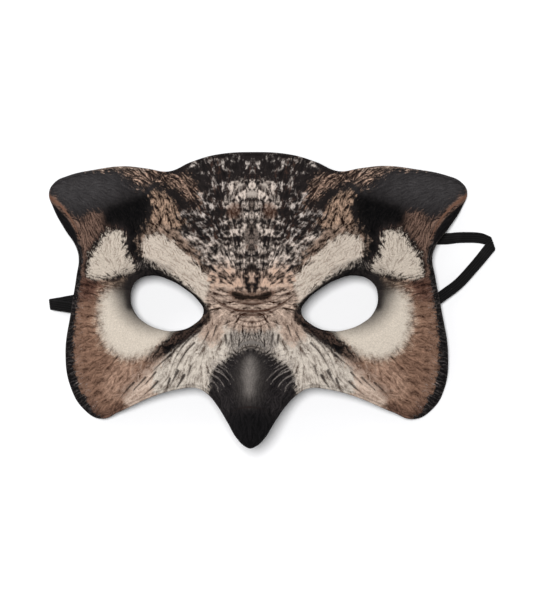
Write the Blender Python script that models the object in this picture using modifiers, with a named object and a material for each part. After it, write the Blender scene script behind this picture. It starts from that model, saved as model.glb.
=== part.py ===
"""Owl half mask, lying on its back rim with the face up.

A moulded foam face carries the printed cloth, a ribbed lining sits behind it, and one flat
elastic runs between two felt patches on the lining. The wearer's face goes in from below.
+Z points out of the face, +Y to the ear tufts and +X to the right as seen from the front.
Every form is worked out on the right half and mirrored about the plane X = 0.
"""

import bmesh
import bpy
import numpy as np

# Outline sizes, in metres
HALF_WIDTH = 0.1006
REACH_UP = 0.0735
REACH_DOWN = 0.0671

# Relief sizes
FORM_DEPTH = 0.040
BEAK_HEIGHT = 0.052
BEAK_WALL_SLOPE = 1.15
BEAK_ROUNDING = 0.004
BEAK_BLEND = 0.0025
VALLEY_DEPTH = 0.0038
VALLEY_WIDTH = 0.0070
BROW_RISE = 0.0062
BROW_WIDTH = 0.0130
NOSE_GROOVE_DEPTH = 0.0030
NOSE_GROOVE_WIDTH = 0.0035
NOSE_GROOVE_LENGTH = 0.0132
SOCKET_DEPTH = 0.0020
SOCKET_HALF_LENGTH = 0.0225
SOCKET_HALF_HEIGHT = 0.0178

# Eye openings
EYE_ACROSS = 0.0413
EYE_UP = 0.0014
EYE_HALF_LENGTH = 0.0180
EYE_HALF_HEIGHT = 0.0132

# Walls and clearances
FOAM_WALL = 0.0018
LINING_WALL = 0.0009
PIECE_GAP = 0.0003
LINING_SETBACK = 0.0024
EYE_SETBACK = 0.0008

# Strap and the patches that hold it
PATCH_FROM_TIP = 0.0246      # in from the level of the ear tips
PATCH_UP = -0.001
PATCH_DIAMETER = 0.0165
PATCH_WALL = 0.0022
STRAP_WIDTH = 0.0052
STRAP_THICKNESS = 0.0010

# Mesh fineness
COLUMN_COUNT = 42
ROW_COUNT = 32
MIDDLE_COLUMN_SHARE = 0.70
GRID_MARGIN = 1.14
CURVE_STEPS = 3
PATCH_STEP = 0.003
PATCH_SIDES = 32
LINE_STEPS = 40
CUTTER_HEIGHT = 0.100
WELD_GAP = 0.00001
SLOPE_OUTSIDE = 1.6

# The origin is under the middle of the outline, so the eye line lies a little off Y = 0
EYE_LINE = (REACH_DOWN - REACH_UP) / 2
PATCH_ACROSS = HALF_WIDTH - PATCH_FROM_TIP

# Right half of the outline: share of HALF_WIDTH, share of REACH_UP or REACH_DOWN
OUTLINE = (
    ("forehead middle", 0.000, 1.000),
    ("forehead", 0.180, 0.984),
    ("forehead side", 0.297, 0.937),
    ("brow notch", 0.399, 0.879),
    ("ear root", 0.506, 0.897),
    ("ear top", 0.618, 0.912),
    ("ear top", 0.763, 0.891),
    ("ear corner", 0.905, 0.852),
    ("ear corner", 0.971, 0.811),
    ("ear tip", 1.000, 0.746),
    ("ear side", 0.977, 0.646),
    ("ear side", 0.916, 0.507),
    ("ear foot", 0.857, 0.392),
    ("waist", 0.842, 0.316),
    ("waist", 0.854, 0.200),
    ("temple", 0.882, -0.016),
    ("cheek side", 0.913, -0.337),
    ("cheek side", 0.893, -0.581),
    ("cheek corner", 0.834, -0.733),
    ("cheek lobe", 0.747, -0.802),
    ("cheek lobe", 0.651, -0.750),
    ("cheek arch", 0.483, -0.639),
    ("cheek arch", 0.348, -0.584),
    ("beak notch", 0.264, -0.578),
    ("beak side", 0.219, -0.614),
    ("beak side", 0.169, -0.694),
    ("beak side", 0.115, -0.817),
    ("beak end", 0.071, -0.927),
    ("beak end", 0.031, -0.985),
    ("beak tip", 0.000, -1.000),
)

# Right eye opening: share of EYE_HALF_LENGTH, share of EYE_HALF_HEIGHT, from the eye's middle
EYE_OUTLINE = (
    ("top", 0.405, 1.000),
    ("outer top", 0.845, 0.770),
    ("outer corner", 1.000, 0.210),
    ("outer low", 0.875, -0.340),
    ("low", 0.595, -0.680),
    ("bottom", 0.215, -0.905),
    ("bottom", -0.205, -0.975),
    ("inner low", -0.720, -0.750),
    ("inner corner", -0.995, -0.280),
    ("inner top", -0.850, 0.105),
    ("upper lid", -0.505, 0.515),
    ("upper lid", -0.095, 0.835),
)

# Height of the plain form, as shares of FORM_DEPTH. One row for each share of the reach up or
# down, one column for each share of HALF_WIDTH
FORM_ACROSS = (0.0, 0.2, 0.4, 0.6, 0.8, 1.0)
FORM = (
    (1.00, (0.725, 0.700, 0.640, 0.575, 0.350, 0.010)),
    (0.68, (0.900, 0.870, 0.810, 0.690, 0.430, 0.070)),
    (0.34, (0.960, 0.920, 0.850, 0.710, 0.480, 0.200)),
    (0.00, (0.900, 0.850, 0.750, 0.610, 0.410, 0.150)),
    (-0.37, (0.900, 0.835, 0.745, 0.600, 0.385, 0.100)),
    (-0.75, (0.850, 0.760, 0.640, 0.410, 0.110, -0.225)),
    (-1.00, (0.770, 0.660, 0.500, 0.230, -0.090, -0.450)),
)

# Crest of the beak: share of REACH_DOWN, share of BEAK_HEIGHT
BEAK_CREST = (
    (0.10, 0.38),
    (0.20, 0.62),
    (0.30, 0.80),
    (0.42, 0.91),
    (0.57, 0.98),
    (0.72, 1.00),
    (0.87, 0.955),
    (1.00, 0.87),
)

# Valley between forehead and brow: share across, share up, share of VALLEY_DEPTH
VALLEY = (
    ("between the eyes", 0.030, 0.16, 0.10),
    ("brow", 0.115, 0.36, 0.85),
    ("forehead", 0.255, 0.62, 1.00),
    ("brow notch", 0.399, 0.879, 0.55),
)

# Brow ridge outside the valley: share across, share up, share of BROW_RISE
BROW = (
    ("inner eye", 0.130, -0.08, 0.25),
    ("over the eye", 0.250, 0.30, 0.65),
    ("ear mound", 0.410, 0.57, 1.00),
    ("ear root", 0.580, 0.80, 0.35),
)

# Middle of the strap, patch to patch: x, y, z, the way its width points in degrees from +X, and
# how wide the fold makes it that way, as a share of STRAP_WIDTH
STRAP_ROUTE = (
    (-0.0740, -0.0043, 0.0136, 90, 1.00),
    (-0.0800, -0.0043, 0.0108, 90, 1.00),
    (-0.0870, -0.0039, 0.0072, 92, 1.00),
    (-0.0940, -0.0030, 0.0044, 95, 1.00),
    (-0.0982, -0.0024, 0.0034, 97, 1.00),
    (-0.0997, -0.0021, 0.0020, 97, 1.00),
    (-0.0982, -0.0018, 0.0007, 98, 1.00),
    (-0.0925, -0.0008, 0.0007, 100, 1.00),
    (-0.0860, 0.0008, 0.0007, 107, 1.00),
    (-0.0780, 0.0055, 0.0007, 122, 1.00),
    (-0.0620, 0.0183, 0.0007, 122, 1.00),
    (-0.0400, 0.0264, 0.0007, 104, 1.00),
    (0.0000, 0.0305, 0.0007, 93, 1.00),
    (0.0450, 0.0308, 0.0007, 88, 1.00),
    (0.0850, 0.0292, 0.0007, 89, 1.06),
    (0.0970, 0.0298, 0.0007, 91, 1.00),
    (0.1060, 0.0296, 0.0007, 94, 1.00),
    (0.1110, 0.0280, 0.0009, 103, 1.08),
    (0.1124, 0.0268, 0.0021, 112, 1.18),
    (0.1105, 0.0242, 0.0034, 124, 1.08),
    (0.1045, 0.0168, 0.0038, 133, 1.00),
    (0.0965, 0.0080, 0.0047, 132, 1.00),
    (0.0890, 0.0022, 0.0068, 118, 1.02),
    (0.0830, -0.0022, 0.0096, 104, 1.00),
    (0.0780, -0.0040, 0.0119, 92, 1.00),
    (0.0740, -0.0043, 0.0136, 90, 1.00),
)
STRAP_POINTS_PER_STRETCH = 3
HELD_STRETCHES = 3


def smooth_lookup(places, values, wanted):
    """Read a smooth curve through (places, values); places rise, values may be rows."""
    places = np.asarray(places, float)
    values = np.asarray(values, float)
    slopes = np.gradient(values, places, axis=0)
    at = np.clip(np.searchsorted(places, wanted) - 1, 0, len(places) - 2)
    span = places[at + 1] - places[at]
    t = np.clip((wanted - places[at]) / span, 0.0, 1.0)
    if values.ndim > 1:
        span = span[..., None]
        t = t[..., None]
    start, end = values[at], values[at + 1]
    return (
        start * (1 + 2 * t) * (1 - t) ** 2
        + slopes[at] * span * t * (1 - t) ** 2
        + end * t * t * (3 - 2 * t)
        - slopes[at + 1] * span * t * t * (1 - t)
    )


def place(across, up):
    """Turn a share across and a share up or down into metres."""
    reach = REACH_UP if up > 0 else REACH_DOWN
    return across * HALF_WIDTH, EYE_LINE + up * reach


def line_ridge(x, y, rows, width):
    """A soft ridge of height 0 to 1 along the line through the rows of a table."""
    points = np.array([place(across, up) for _, across, up, _ in rows])
    heights = [row[3] for row in rows]
    steps = np.linspace(0, len(rows) - 1, LINE_STEPS + 1)
    line = smooth_lookup(range(len(rows)), points, steps)
    height = smooth_lookup(range(len(rows)), heights, steps)
    gaps = np.hypot(x[..., None] - line[:, 0], y[..., None] - line[:, 1])
    nearest = gaps.argmin(axis=-1)
    return height[nearest] * np.exp(-((gaps.min(axis=-1) / width) ** 2))


def plain_form(across, y):
    """The dished form without its valleys, brows and beak."""
    rise = y - EYE_LINE
    share_up = np.where(rise > 0, rise / REACH_UP, rise / REACH_DOWN)
    rows = sorted(FORM)
    columns = smooth_lookup([row[0] for row in rows], [row[1] for row in rows], share_up)
    share_across = np.clip(across / HALF_WIDTH, 0.0, GRID_MARGIN)
    flat = np.array([
        smooth_lookup(FORM_ACROSS, column, np.array([share]))[0]
        for column, share in zip(columns.reshape(-1, len(FORM_ACROSS)), share_across.ravel())
    ])
    beyond = np.clip(share_across - 1.0, 0.0, None)
    return (flat.reshape(share_across.shape) - SLOPE_OUTSIDE * beyond) * FORM_DEPTH


def height(x, y):
    """Height of the face's front over the surface that the mask lies on."""
    across = np.abs(x)
    form = plain_form(across, y)
    form = form - VALLEY_DEPTH * line_ridge(across, y, VALLEY, VALLEY_WIDTH)
    form = form + BROW_RISE * line_ridge(across, y, BROW, BROW_WIDTH)
    groove_gap = np.hypot(across / NOSE_GROOVE_WIDTH, (y - EYE_LINE) / NOSE_GROOVE_LENGTH)
    form = form - NOSE_GROOVE_DEPTH * np.exp(-(groove_gap ** 2))
    eye_gap = np.hypot(
        (across - EYE_ACROSS) / SOCKET_HALF_LENGTH,
        (y - EYE_LINE - EYE_UP) / SOCKET_HALF_HEIGHT,
    )
    form = form - SOCKET_DEPTH * np.exp(-(eye_gap ** 2))
    down = np.clip((EYE_LINE - y) / REACH_DOWN, 0.0, 1.0)
    crest = BEAK_HEIGHT * smooth_lookup(*zip(*BEAK_CREST), down)
    wall = BEAK_WALL_SLOPE * (np.hypot(across, BEAK_ROUNDING) - BEAK_ROUNDING)
    beak = crest - wall
    return (form + beak + np.sqrt((form - beak) ** 2 + BEAK_BLEND ** 2)) / 2


def collection(name):
    made = bpy.data.collections.new(name)
    bpy.context.scene.collection.children.link(made)
    return made


def finish(name, color, roughness):
    material = bpy.data.materials.new(name)
    material.use_nodes = True
    shader = material.node_tree.nodes["Principled BSDF"]
    shader.inputs["Base Color"].default_value = (*color, 1)
    shader.inputs["Roughness"].default_value = roughness
    shader.inputs["Metallic"].default_value = 0
    return material


def mesh_object(name, mesh, group):
    made = bpy.data.objects.new(name, mesh)
    group.objects.link(made)
    return made


def as_cutter(cutter):
    cutter.hide_render = True
    cutter.display_type = "WIRE"
    return cutter


def outline_cutter(name, points, setback, group):
    """An upright prism through a smooth closed line, grown outwards or set in by setback."""
    curve = bpy.data.curves.new(name, "CURVE")
    curve.dimensions = "2D"
    curve.fill_mode = "BOTH"
    curve.extrude = CUTTER_HEIGHT / 2
    curve.resolution_u = CURVE_STEPS
    curve.offset = -setback
    spline = curve.splines.new("BEZIER")
    spline.bezier_points.add(len(points) - 1)
    for knot, (x, y) in zip(spline.bezier_points, points):
        knot.co = (x, y, 0)
        knot.handle_left_type = "AUTO"
        knot.handle_right_type = "AUTO"
    spline.use_cyclic_u = True
    drawn = mesh_object(name + "_curve", curve, group)
    bpy.context.view_layer.update()
    mesh = bpy.data.meshes.new_from_object(drawn.evaluated_get(bpy.context.evaluated_depsgraph_get()))
    bpy.data.objects.remove(drawn)
    work = bmesh.new()
    work.from_mesh(mesh)
    bmesh.ops.remove_doubles(work, verts=work.verts, dist=WELD_GAP)
    bmesh.ops.recalc_face_normals(work, faces=work.faces)
    work.to_mesh(mesh)
    work.free()
    cutter = mesh_object(name, mesh, group)
    cutter.location.z = CUTTER_HEIGHT / 4
    return as_cutter(cutter)


def mirrored(points):
    """The whole closed line from its right half, whose first and last points are on X = 0."""
    return list(points) + [(-x, y) for x, y in reversed(points[1:-1])]


def split_quads(work):
    """Split each quad along the diagonal whose middle lies closer to the form."""
    faces = list(work.faces)
    corners = [[loop.vert for loop in face.loops] for face in faces]
    spots = np.array([[vert.co[:] for vert in four] for four in corners])
    misses = []
    for start in (0, 1):
        middle = (spots[:, start] + spots[:, start + 2]) / 2
        misses.append(np.abs(height(middle[:, 0], middle[:, 1]) - middle[:, 2]))
    for face, four, start in zip(faces, corners, np.argmin(misses, axis=0)):
        bmesh.utils.face_split(face, four[start], four[start + 2])


def formed_sheet(name, xs, ys, depth, group):
    """A grid laid on the form, depth metres behind the front."""
    work = bmesh.new()
    bmesh.ops.create_grid(work, x_segments=len(xs) - 1, y_segments=len(ys) - 1, size=1)
    verts = sorted(work.verts, key=lambda v: (round(v.co.y, 4), v.co.x))
    x, y = (values.ravel() for values in np.meshgrid(xs, ys))
    for vert, spot in zip(verts, np.stack([x, y, height(x, y)], axis=-1)):
        vert.co = spot
    split_quads(work)
    mesh = bpy.data.meshes.new(name)
    work.to_mesh(mesh)
    work.free()
    sheet = mesh_object(name, mesh, group)
    sink = sheet.modifiers.new("depth", "DISPLACE")
    sink.direction = "NORMAL"
    sink.mid_level = 0
    sink.strength = -depth
    return sheet


def thicken(sheet, thickness, offset=-1.0):
    solid = sheet.modifiers.new("wall", "SOLIDIFY")
    solid.thickness = thickness
    solid.offset = offset
    solid.use_even_offset = False
    return sheet


def cut(target, cutter, operation):
    boolean = target.modifiers.new(cutter.name, "BOOLEAN")
    boolean.operation = operation
    boolean.solver = "EXACT"
    boolean.object = cutter


def form_grid():
    """Columns close together at the beak and wider at the ears, rows evenly apart."""
    share = np.linspace(-1, 1, COLUMN_COUNT + 1)
    spread = MIDDLE_COLUMN_SHARE + (1 - MIDDLE_COLUMN_SHARE) * np.abs(share)
    xs = share * spread * HALF_WIDTH * GRID_MARGIN
    half_height = (REACH_UP + REACH_DOWN) / 2
    ys = np.linspace(-1, 1, ROW_COUNT + 1) * half_height * GRID_MARGIN
    return xs, ys


def eye_points(side):
    """Points round one eye opening; side is 1 on the right and -1 on the left."""
    points = []
    for _, across, up in EYE_OUTLINE:
        x = EYE_ACROSS + across * EYE_HALF_LENGTH
        points.append((side * x, EYE_LINE + EYE_UP + up * EYE_HALF_HEIGHT))
    return points


def shell(name, depth, wall, setback, eye_setback, material):
    """One layer of the moulded mask: outline, eye openings and relief."""
    sheet = formed_sheet(name, *form_grid(), depth, model)
    thicken(sheet, wall)
    half = [place(across, up) for _, across, up in OUTLINE]
    cut(sheet, outline_cutter(name + "_outline", mirrored(half), setback, cutters), "INTERSECT")
    for word, side in (("left", -1), ("right", 1)):
        eye = outline_cutter(f"{name}_{word}_eye", eye_points(side), -eye_setback, cutters)
        cut(sheet, eye, "DIFFERENCE")
    sheet.data.materials.append(material)
    return sheet


def route_points(route):
    """The strap's middle line and, as level vectors, its width at each point."""
    steps = np.linspace(0, len(route) - 1, (len(route) - 1) * STRAP_POINTS_PER_STRETCH + 1)
    rows = smooth_lookup(range(len(route)), route, steps)
    turn = np.radians(rows[:, 3])
    sideways = np.stack([np.cos(turn), np.sin(turn), np.zeros_like(turn)], axis=-1)
    return rows[:, :3], sideways * rows[:, 4:]


def ribbon(name, route, width, thickness, group):
    """A flat band along a route."""
    middle, sideways = route_points(route)
    work = bmesh.new()
    bmesh.ops.create_grid(work, x_segments=len(middle) - 1, y_segments=1, size=1)
    edges = sorted(work.verts, key=lambda v: (round(v.co.y, 4), v.co.x))
    spots = np.concatenate([middle - sideways * width / 2, middle + sideways * width / 2])
    for vert, spot in zip(edges, spots):
        vert.co = spot
    mesh = bpy.data.meshes.new(name)
    work.to_mesh(mesh)
    work.free()
    return thicken(mesh_object(name, mesh, group), thickness, 0.0)


def felt_patch(word, side):
    """A disc that follows the lining, with a slot for the end of the strap."""
    name = word + "_patch"
    reach = PATCH_DIAMETER / 2 + 2 * PATCH_STEP
    steps = round(2 * reach / PATCH_STEP) + 1
    xs = side * PATCH_ACROSS + np.linspace(-reach, reach, steps)
    ys = EYE_LINE + PATCH_UP + np.linspace(-reach, reach, steps)
    depth = FOAM_WALL + LINING_WALL + 2 * PIECE_GAP
    patch = thicken(formed_sheet(name, xs, ys, depth, model), PATCH_WALL)
    work = bmesh.new()
    radius = PATCH_DIAMETER / 2
    bmesh.ops.create_cone(
        work, cap_ends=True, segments=PATCH_SIDES, radius1=radius, radius2=radius, depth=CUTTER_HEIGHT)
    mesh = bpy.data.meshes.new(name + "_disc")
    work.to_mesh(mesh)
    work.free()
    disc = as_cutter(mesh_object(name + "_disc", mesh, cutters))
    disc.location = (side * PATCH_ACROSS, EYE_LINE + PATCH_UP, 0)
    cut(patch, disc, "INTERSECT")
    end_route = STRAP_ROUTE[:HELD_STRETCHES + 1] if side < 0 else STRAP_ROUTE[-HELD_STRETCHES - 1:]
    slot = ribbon(
        name + "_slot", end_route, STRAP_WIDTH + 2 * PIECE_GAP,
        STRAP_THICKNESS + 2 * PIECE_GAP, cutters)
    cut(patch, as_cutter(slot), "DIFFERENCE")
    patch.data.materials.append(felt)
    return patch


def lowest_point(solid):
    """The lowest height of an object as its modifiers leave it."""
    bpy.context.view_layer.update()
    evaluated = solid.evaluated_get(bpy.context.evaluated_depsgraph_get())
    return min(vert.co.z for vert in evaluated.data.vertices)


for old in list(bpy.data.objects):
    bpy.data.objects.remove(old)

model = collection("owl_mask")
cutters = collection("cutters")

print_cloth = finish("printed cloth on foam", (0.20, 0.15, 0.11), 0.75)
lining_cloth = finish("black ribbed cloth", (0.012, 0.012, 0.013), 0.80)
felt = finish("black felt", (0.015, 0.015, 0.016), 0.95)
elastic = finish("black braided elastic", (0.010, 0.010, 0.011), 0.70)

printed_face = shell("printed_face", 0, FOAM_WALL, 0, 0, print_cloth)
ribbed_lining = shell(
    "ribbed_lining", FOAM_WALL + PIECE_GAP, LINING_WALL, LINING_SETBACK, EYE_SETBACK,
    lining_cloth)
patches = [felt_patch(word, side) for word, side in (("left", -1), ("right", 1))]
seat = lowest_point(printed_face)
for piece in (printed_face, ribbed_lining, *patches):
    piece.location.z = -seat
strap = ribbon("elastic_strap", STRAP_ROUTE, STRAP_WIDTH, STRAP_THICKNESS, model)
strap.data.materials.append(elastic)
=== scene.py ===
# %% [markdown]
# # Owl half mask
# A half mask of this kind is a thin sheet of foam with a printed knit on its face and a ribbed
# black knit behind, pressed together in a heated mould and then cut round. A flat elastic runs
# behind the head between two felt discs. The cells below make those pieces, in metres, in the
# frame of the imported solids: +Z out of the face, +Y to the ear tufts.

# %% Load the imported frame
import math

import bmesh
import bpy
import numpy as np
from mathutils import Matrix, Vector


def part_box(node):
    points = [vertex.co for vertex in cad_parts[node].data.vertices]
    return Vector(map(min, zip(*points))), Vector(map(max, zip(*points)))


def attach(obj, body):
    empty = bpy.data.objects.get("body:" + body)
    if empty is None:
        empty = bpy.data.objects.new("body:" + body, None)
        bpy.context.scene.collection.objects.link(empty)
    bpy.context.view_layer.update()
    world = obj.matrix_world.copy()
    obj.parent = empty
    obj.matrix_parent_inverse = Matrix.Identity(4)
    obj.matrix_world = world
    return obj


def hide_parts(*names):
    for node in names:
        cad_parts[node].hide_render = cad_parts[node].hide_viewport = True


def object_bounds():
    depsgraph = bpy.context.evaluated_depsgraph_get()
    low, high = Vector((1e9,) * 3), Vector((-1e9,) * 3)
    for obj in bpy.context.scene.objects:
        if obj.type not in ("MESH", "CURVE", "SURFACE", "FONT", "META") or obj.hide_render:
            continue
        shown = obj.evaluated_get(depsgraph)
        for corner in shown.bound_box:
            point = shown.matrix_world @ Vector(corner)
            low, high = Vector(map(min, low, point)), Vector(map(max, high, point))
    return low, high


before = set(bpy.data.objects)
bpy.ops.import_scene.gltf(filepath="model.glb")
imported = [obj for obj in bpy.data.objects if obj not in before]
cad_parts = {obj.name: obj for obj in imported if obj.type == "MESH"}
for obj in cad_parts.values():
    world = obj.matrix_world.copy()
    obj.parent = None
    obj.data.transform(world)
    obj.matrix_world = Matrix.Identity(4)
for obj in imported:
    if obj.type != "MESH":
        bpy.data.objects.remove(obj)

cad_box = [list(corner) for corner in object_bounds()]
print("solids' box, mm:", np.round(np.array(cad_box) * 1000, 1).tolist())

# %% [markdown]
# ## Camera
# The front of the mask is seen almost straight on, from far enough away that its relief doesn't
# spread. The mask lies on its back rim, so the camera hangs above it with a long lens, turned a
# few degrees to the mask's right. One number sets how much width the picture takes in.

# %% Hang the camera over the mask
PICTURE_WIDTH = 0.2540
CAMERA_DISTANCE = 3.5
CAMERA_TURN = math.radians(4.5)
SENSOR_WIDTH = 36

lowest, highest = (Vector(corner) for corner in cad_box)
aim = (lowest + highest) / 2
lens = bpy.data.cameras.new("camera")
lens.sensor_fit = "HORIZONTAL"
lens.sensor_width = SENSOR_WIDTH
lens.lens = SENSOR_WIDTH * CAMERA_DISTANCE / PICTURE_WIDTH
camera = bpy.data.objects.new("camera", lens)
sight = Vector((math.sin(CAMERA_TURN), 0, math.cos(CAMERA_TURN)))
camera.location = aim + CAMERA_DISTANCE * sight
camera.rotation_euler = (0, CAMERA_TURN, 0)
bpy.context.scene.collection.objects.link(camera)
bpy.context.scene.camera = camera
print("lens, mm:", round(lens.lens, 1))

# %% [markdown]
# ## Reading smooth curves from tables
# The strap's route, the mask's relief and the beak's crest are each a short table of numbers. A
# spline through the rows gives every value between them. This one is a cubic through the values
# with slopes taken from the neighbouring rows, so it never needs solving.

# %% A cubic through the rows of a table
def cubic(start, end, slope_from, slope_to, span, t):
    """The smooth way from start to end, with its slope at both, at the share t of the span."""
    return (
        start * (1 + 2 * t) * (1 - t) ** 2
        + slope_from * span * t * (1 - t) ** 2
        + end * t * t * (3 - 2 * t)
        - slope_to * span * t * t * (1 - t)
    )


def smooth_lookup(places, values, wanted):
    """Read the smooth curve through (places, values) at the wanted places."""
    places = np.asarray(places, float)
    values = np.asarray(values, float)
    slopes = np.gradient(values, places, axis=0)
    at = np.clip(np.searchsorted(places, wanted) - 1, 0, len(places) - 2)
    span = places[at + 1] - places[at]
    t = np.clip((wanted - places[at]) / span, 0.0, 1.0)
    if values.ndim > 1:
        span = span[..., None]
        t = t[..., None]
    return cubic(values[at], values[at + 1], slopes[at], slopes[at + 1], span, t)


def piece(name, work):
    """Turn a finished bmesh into a smooth object at the origin."""
    mesh = bpy.data.meshes.new(name)
    work.to_mesh(mesh)
    work.free()
    mesh.shade_smooth()
    made = bpy.data.objects.new(name, mesh)
    bpy.context.scene.collection.objects.link(made)
    faces = sum(len(face.vertices) - 2 for face in mesh.polygons)
    print(name, "has", faces, "triangles")
    return made


# %% [markdown]
# ## The elastic strap
# The strap is 5 mm flat braided elastic: five rubber cords side by side in one braid. It leaves
# the left patch, folds under the cheek, crosses behind the mask on the table and comes round the
# right edge to the other patch. It is one flat tube along a route: a grid whose long way follows
# the route and whose short way goes once round the band, with its seam merged.

# %% Route of the strap: x, y, z, the way its width points in degrees, and its share of the width
STRAP_ROUTE = (
    (-0.0740, -0.0043, 0.0136, 90, 1.00), (-0.0800, -0.0043, 0.0108, 90, 1.00),
    (-0.0870, -0.0039, 0.0072, 92, 1.00), (-0.0940, -0.0030, 0.0044, 95, 1.00),
    (-0.0982, -0.0024, 0.0034, 97, 1.00), (-0.0997, -0.0021, 0.0020, 97, 1.00),
    (-0.0982, -0.0018, 0.0007, 98, 1.00), (-0.0925, -0.0008, 0.0007, 100, 1.00),
    (-0.0860, 0.0008, 0.0007, 107, 1.00), (-0.0780, 0.0055, 0.0007, 122, 1.00),
    (-0.0620, 0.0183, 0.0007, 122, 1.00), (-0.0400, 0.0264, 0.0007, 104, 1.00),
    (0.0000, 0.0305, 0.0007, 93, 1.00), (0.0450, 0.0308, 0.0007, 88, 1.00),
    (0.0850, 0.0292, 0.0007, 89, 1.06), (0.0970, 0.0298, 0.0007, 91, 1.00),
    (0.1060, 0.0296, 0.0007, 94, 1.00), (0.1110, 0.0280, 0.0009, 103, 1.08),
    (0.1124, 0.0268, 0.0021, 112, 1.18), (0.1105, 0.0242, 0.0034, 124, 1.08),
    (0.1045, 0.0168, 0.0038, 133, 1.00), (0.0965, 0.0080, 0.0047, 132, 1.00),
    (0.0890, 0.0022, 0.0068, 118, 1.02), (0.0830, -0.0022, 0.0096, 104, 1.00),
    (0.0780, -0.0040, 0.0119, 92, 1.00), (0.0740, -0.0043, 0.0136, 90, 1.00),
)
STRAP_WIDTH = 0.0052
STRAP_THICKNESS = 0.0010
STRAP_CORDS = 5
BETWEEN_CORDS = 0.62
EDGE_SQUARENESS = 9
RING_STEP = 0.0006
RING_POINTS = 60
MERGE_REACH = 0.000005
ROUTE_SAMPLES = 1400

coarse = np.linspace(0, len(STRAP_ROUTE) - 1, ROUTE_SAMPLES)
rows = smooth_lookup(range(len(STRAP_ROUTE)), STRAP_ROUTE, coarse)
run = np.concatenate([[0], np.cumsum(np.linalg.norm(np.diff(rows[:, :3], axis=0), axis=1))])
strap_length = float(run[-1])
ring_count = round(strap_length / RING_STEP)
even = np.linspace(0, strap_length, ring_count)
rings = np.stack([np.interp(even, run, column) for column in rows.T], axis=1)
print("strap length, mm:", round(strap_length * 1000, 1), "in", ring_count, "rings")


# %% Sweep the flat braid along the route
def strap_section():
    """Once round the band: share across from -1 to 1, and height over its middle line."""
    turn = np.linspace(0, 2, RING_POINTS + 1)
    across = 1 - 2 * np.abs(turn - 1)
    side = np.where(turn < 1, 1.0, -1.0)
    cords = np.abs(np.cos(across * np.pi * STRAP_CORDS / 2))
    edge = np.sqrt(np.clip(1 - np.abs(across) ** EDGE_SQUARENESS, 0, 1))
    crown = BETWEEN_CORDS + (1 - BETWEEN_CORDS) * cords
    return across, side * edge * crown * STRAP_THICKNESS / 2


def swept_strap(name):
    """The flat band along the rings; its points keep their length along it and share across."""
    across, up = strap_section()
    turn = np.radians(rings[:, 3])
    sideways = np.stack([np.cos(turn), np.sin(turn), np.zeros_like(turn)], axis=1)
    ahead = np.gradient(rings[:, :3], axis=0)
    upright = np.cross(ahead, sideways)
    upright /= np.linalg.norm(upright, axis=1)[:, None]
    sideways = sideways * rings[:, 4:]
    spots = (
        rings[None, :, :3]
        + across[:, None, None] * sideways[None] * STRAP_WIDTH / 2
        + up[:, None, None] * upright[None]
    ).reshape(-1, 3)
    work = bmesh.new()
    bmesh.ops.create_grid(work, x_segments=ring_count - 1, y_segments=RING_POINTS, size=1)
    along_layer = work.verts.layers.float.new("along")
    across_layer = work.verts.layers.float.new("across")
    ordered = sorted(work.verts, key=lambda v: (round(v.co.y, 4), v.co.x))
    lengths = np.tile(even, RING_POINTS + 1)
    shares = np.repeat(across, ring_count)
    for vert, spot, length, share in zip(ordered, spots, lengths, shares):
        vert.co = spot
        vert[along_layer] = length
        vert[across_layer] = share
    bmesh.ops.remove_doubles(work, verts=work.verts, dist=MERGE_REACH)
    ends = [edge for edge in work.edges if edge.is_boundary]
    bmesh.ops.holes_fill(work, edges=ends, sides=0)
    bmesh.ops.recalc_face_normals(work, faces=work.faces)
    return piece(name, work)


strap = swept_strap("braided_strap")
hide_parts("elastic_strap")
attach(strap, "root")

# %% [markdown]
# ## Outline and eye openings
# The cutting die of the real mask is one closed steel line for the outline and one for each eye.
# Here each is a closed Bezier curve with automatic handles through measured points. Blender works
# the curve out, and its points are read back as a fine line.

# %% Points of the cutting lines
HALF_WIDTH = 0.1006
REACH_UP = 0.0735
REACH_DOWN = 0.0671
EYE_LINE = (REACH_DOWN - REACH_UP) / 2
EYE_ACROSS = 0.0413
EYE_UP = 0.0014
EYE_HALF_LENGTH = 0.0180
EYE_HALF_HEIGHT = 0.0132
OUTLINE_STEPS = 30
EYE_STEPS = 24

OUTLINE = (
    (0.000, 1.000), (0.180, 0.984), (0.297, 0.937), (0.399, 0.879), (0.506, 0.897),
    (0.618, 0.912), (0.763, 0.891), (0.905, 0.852), (0.971, 0.811), (1.000, 0.746),
    (0.977, 0.646), (0.916, 0.507), (0.857, 0.392), (0.842, 0.316), (0.854, 0.200),
    (0.882, -0.016), (0.913, -0.337), (0.893, -0.581), (0.834, -0.733), (0.747, -0.802),
    (0.651, -0.750), (0.483, -0.639), (0.348, -0.584), (0.264, -0.578), (0.219, -0.614),
    (0.169, -0.694), (0.115, -0.817), (0.071, -0.927), (0.031, -0.985), (0.000, -1.000),
)
EYE_OUTLINE = (
    (0.405, 1.000), (0.845, 0.770), (1.000, 0.210), (0.875, -0.340), (0.595, -0.680),
    (0.215, -0.905), (-0.205, -0.975), (-0.720, -0.750), (-0.995, -0.280), (-0.850, 0.105),
    (-0.505, 0.515), (-0.095, 0.835),
)


def place(across, up):
    """Turn a share across and a share up or down into metres."""
    reach = REACH_UP if up > 0 else REACH_DOWN
    return across * HALF_WIDTH, EYE_LINE + up * reach


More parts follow.
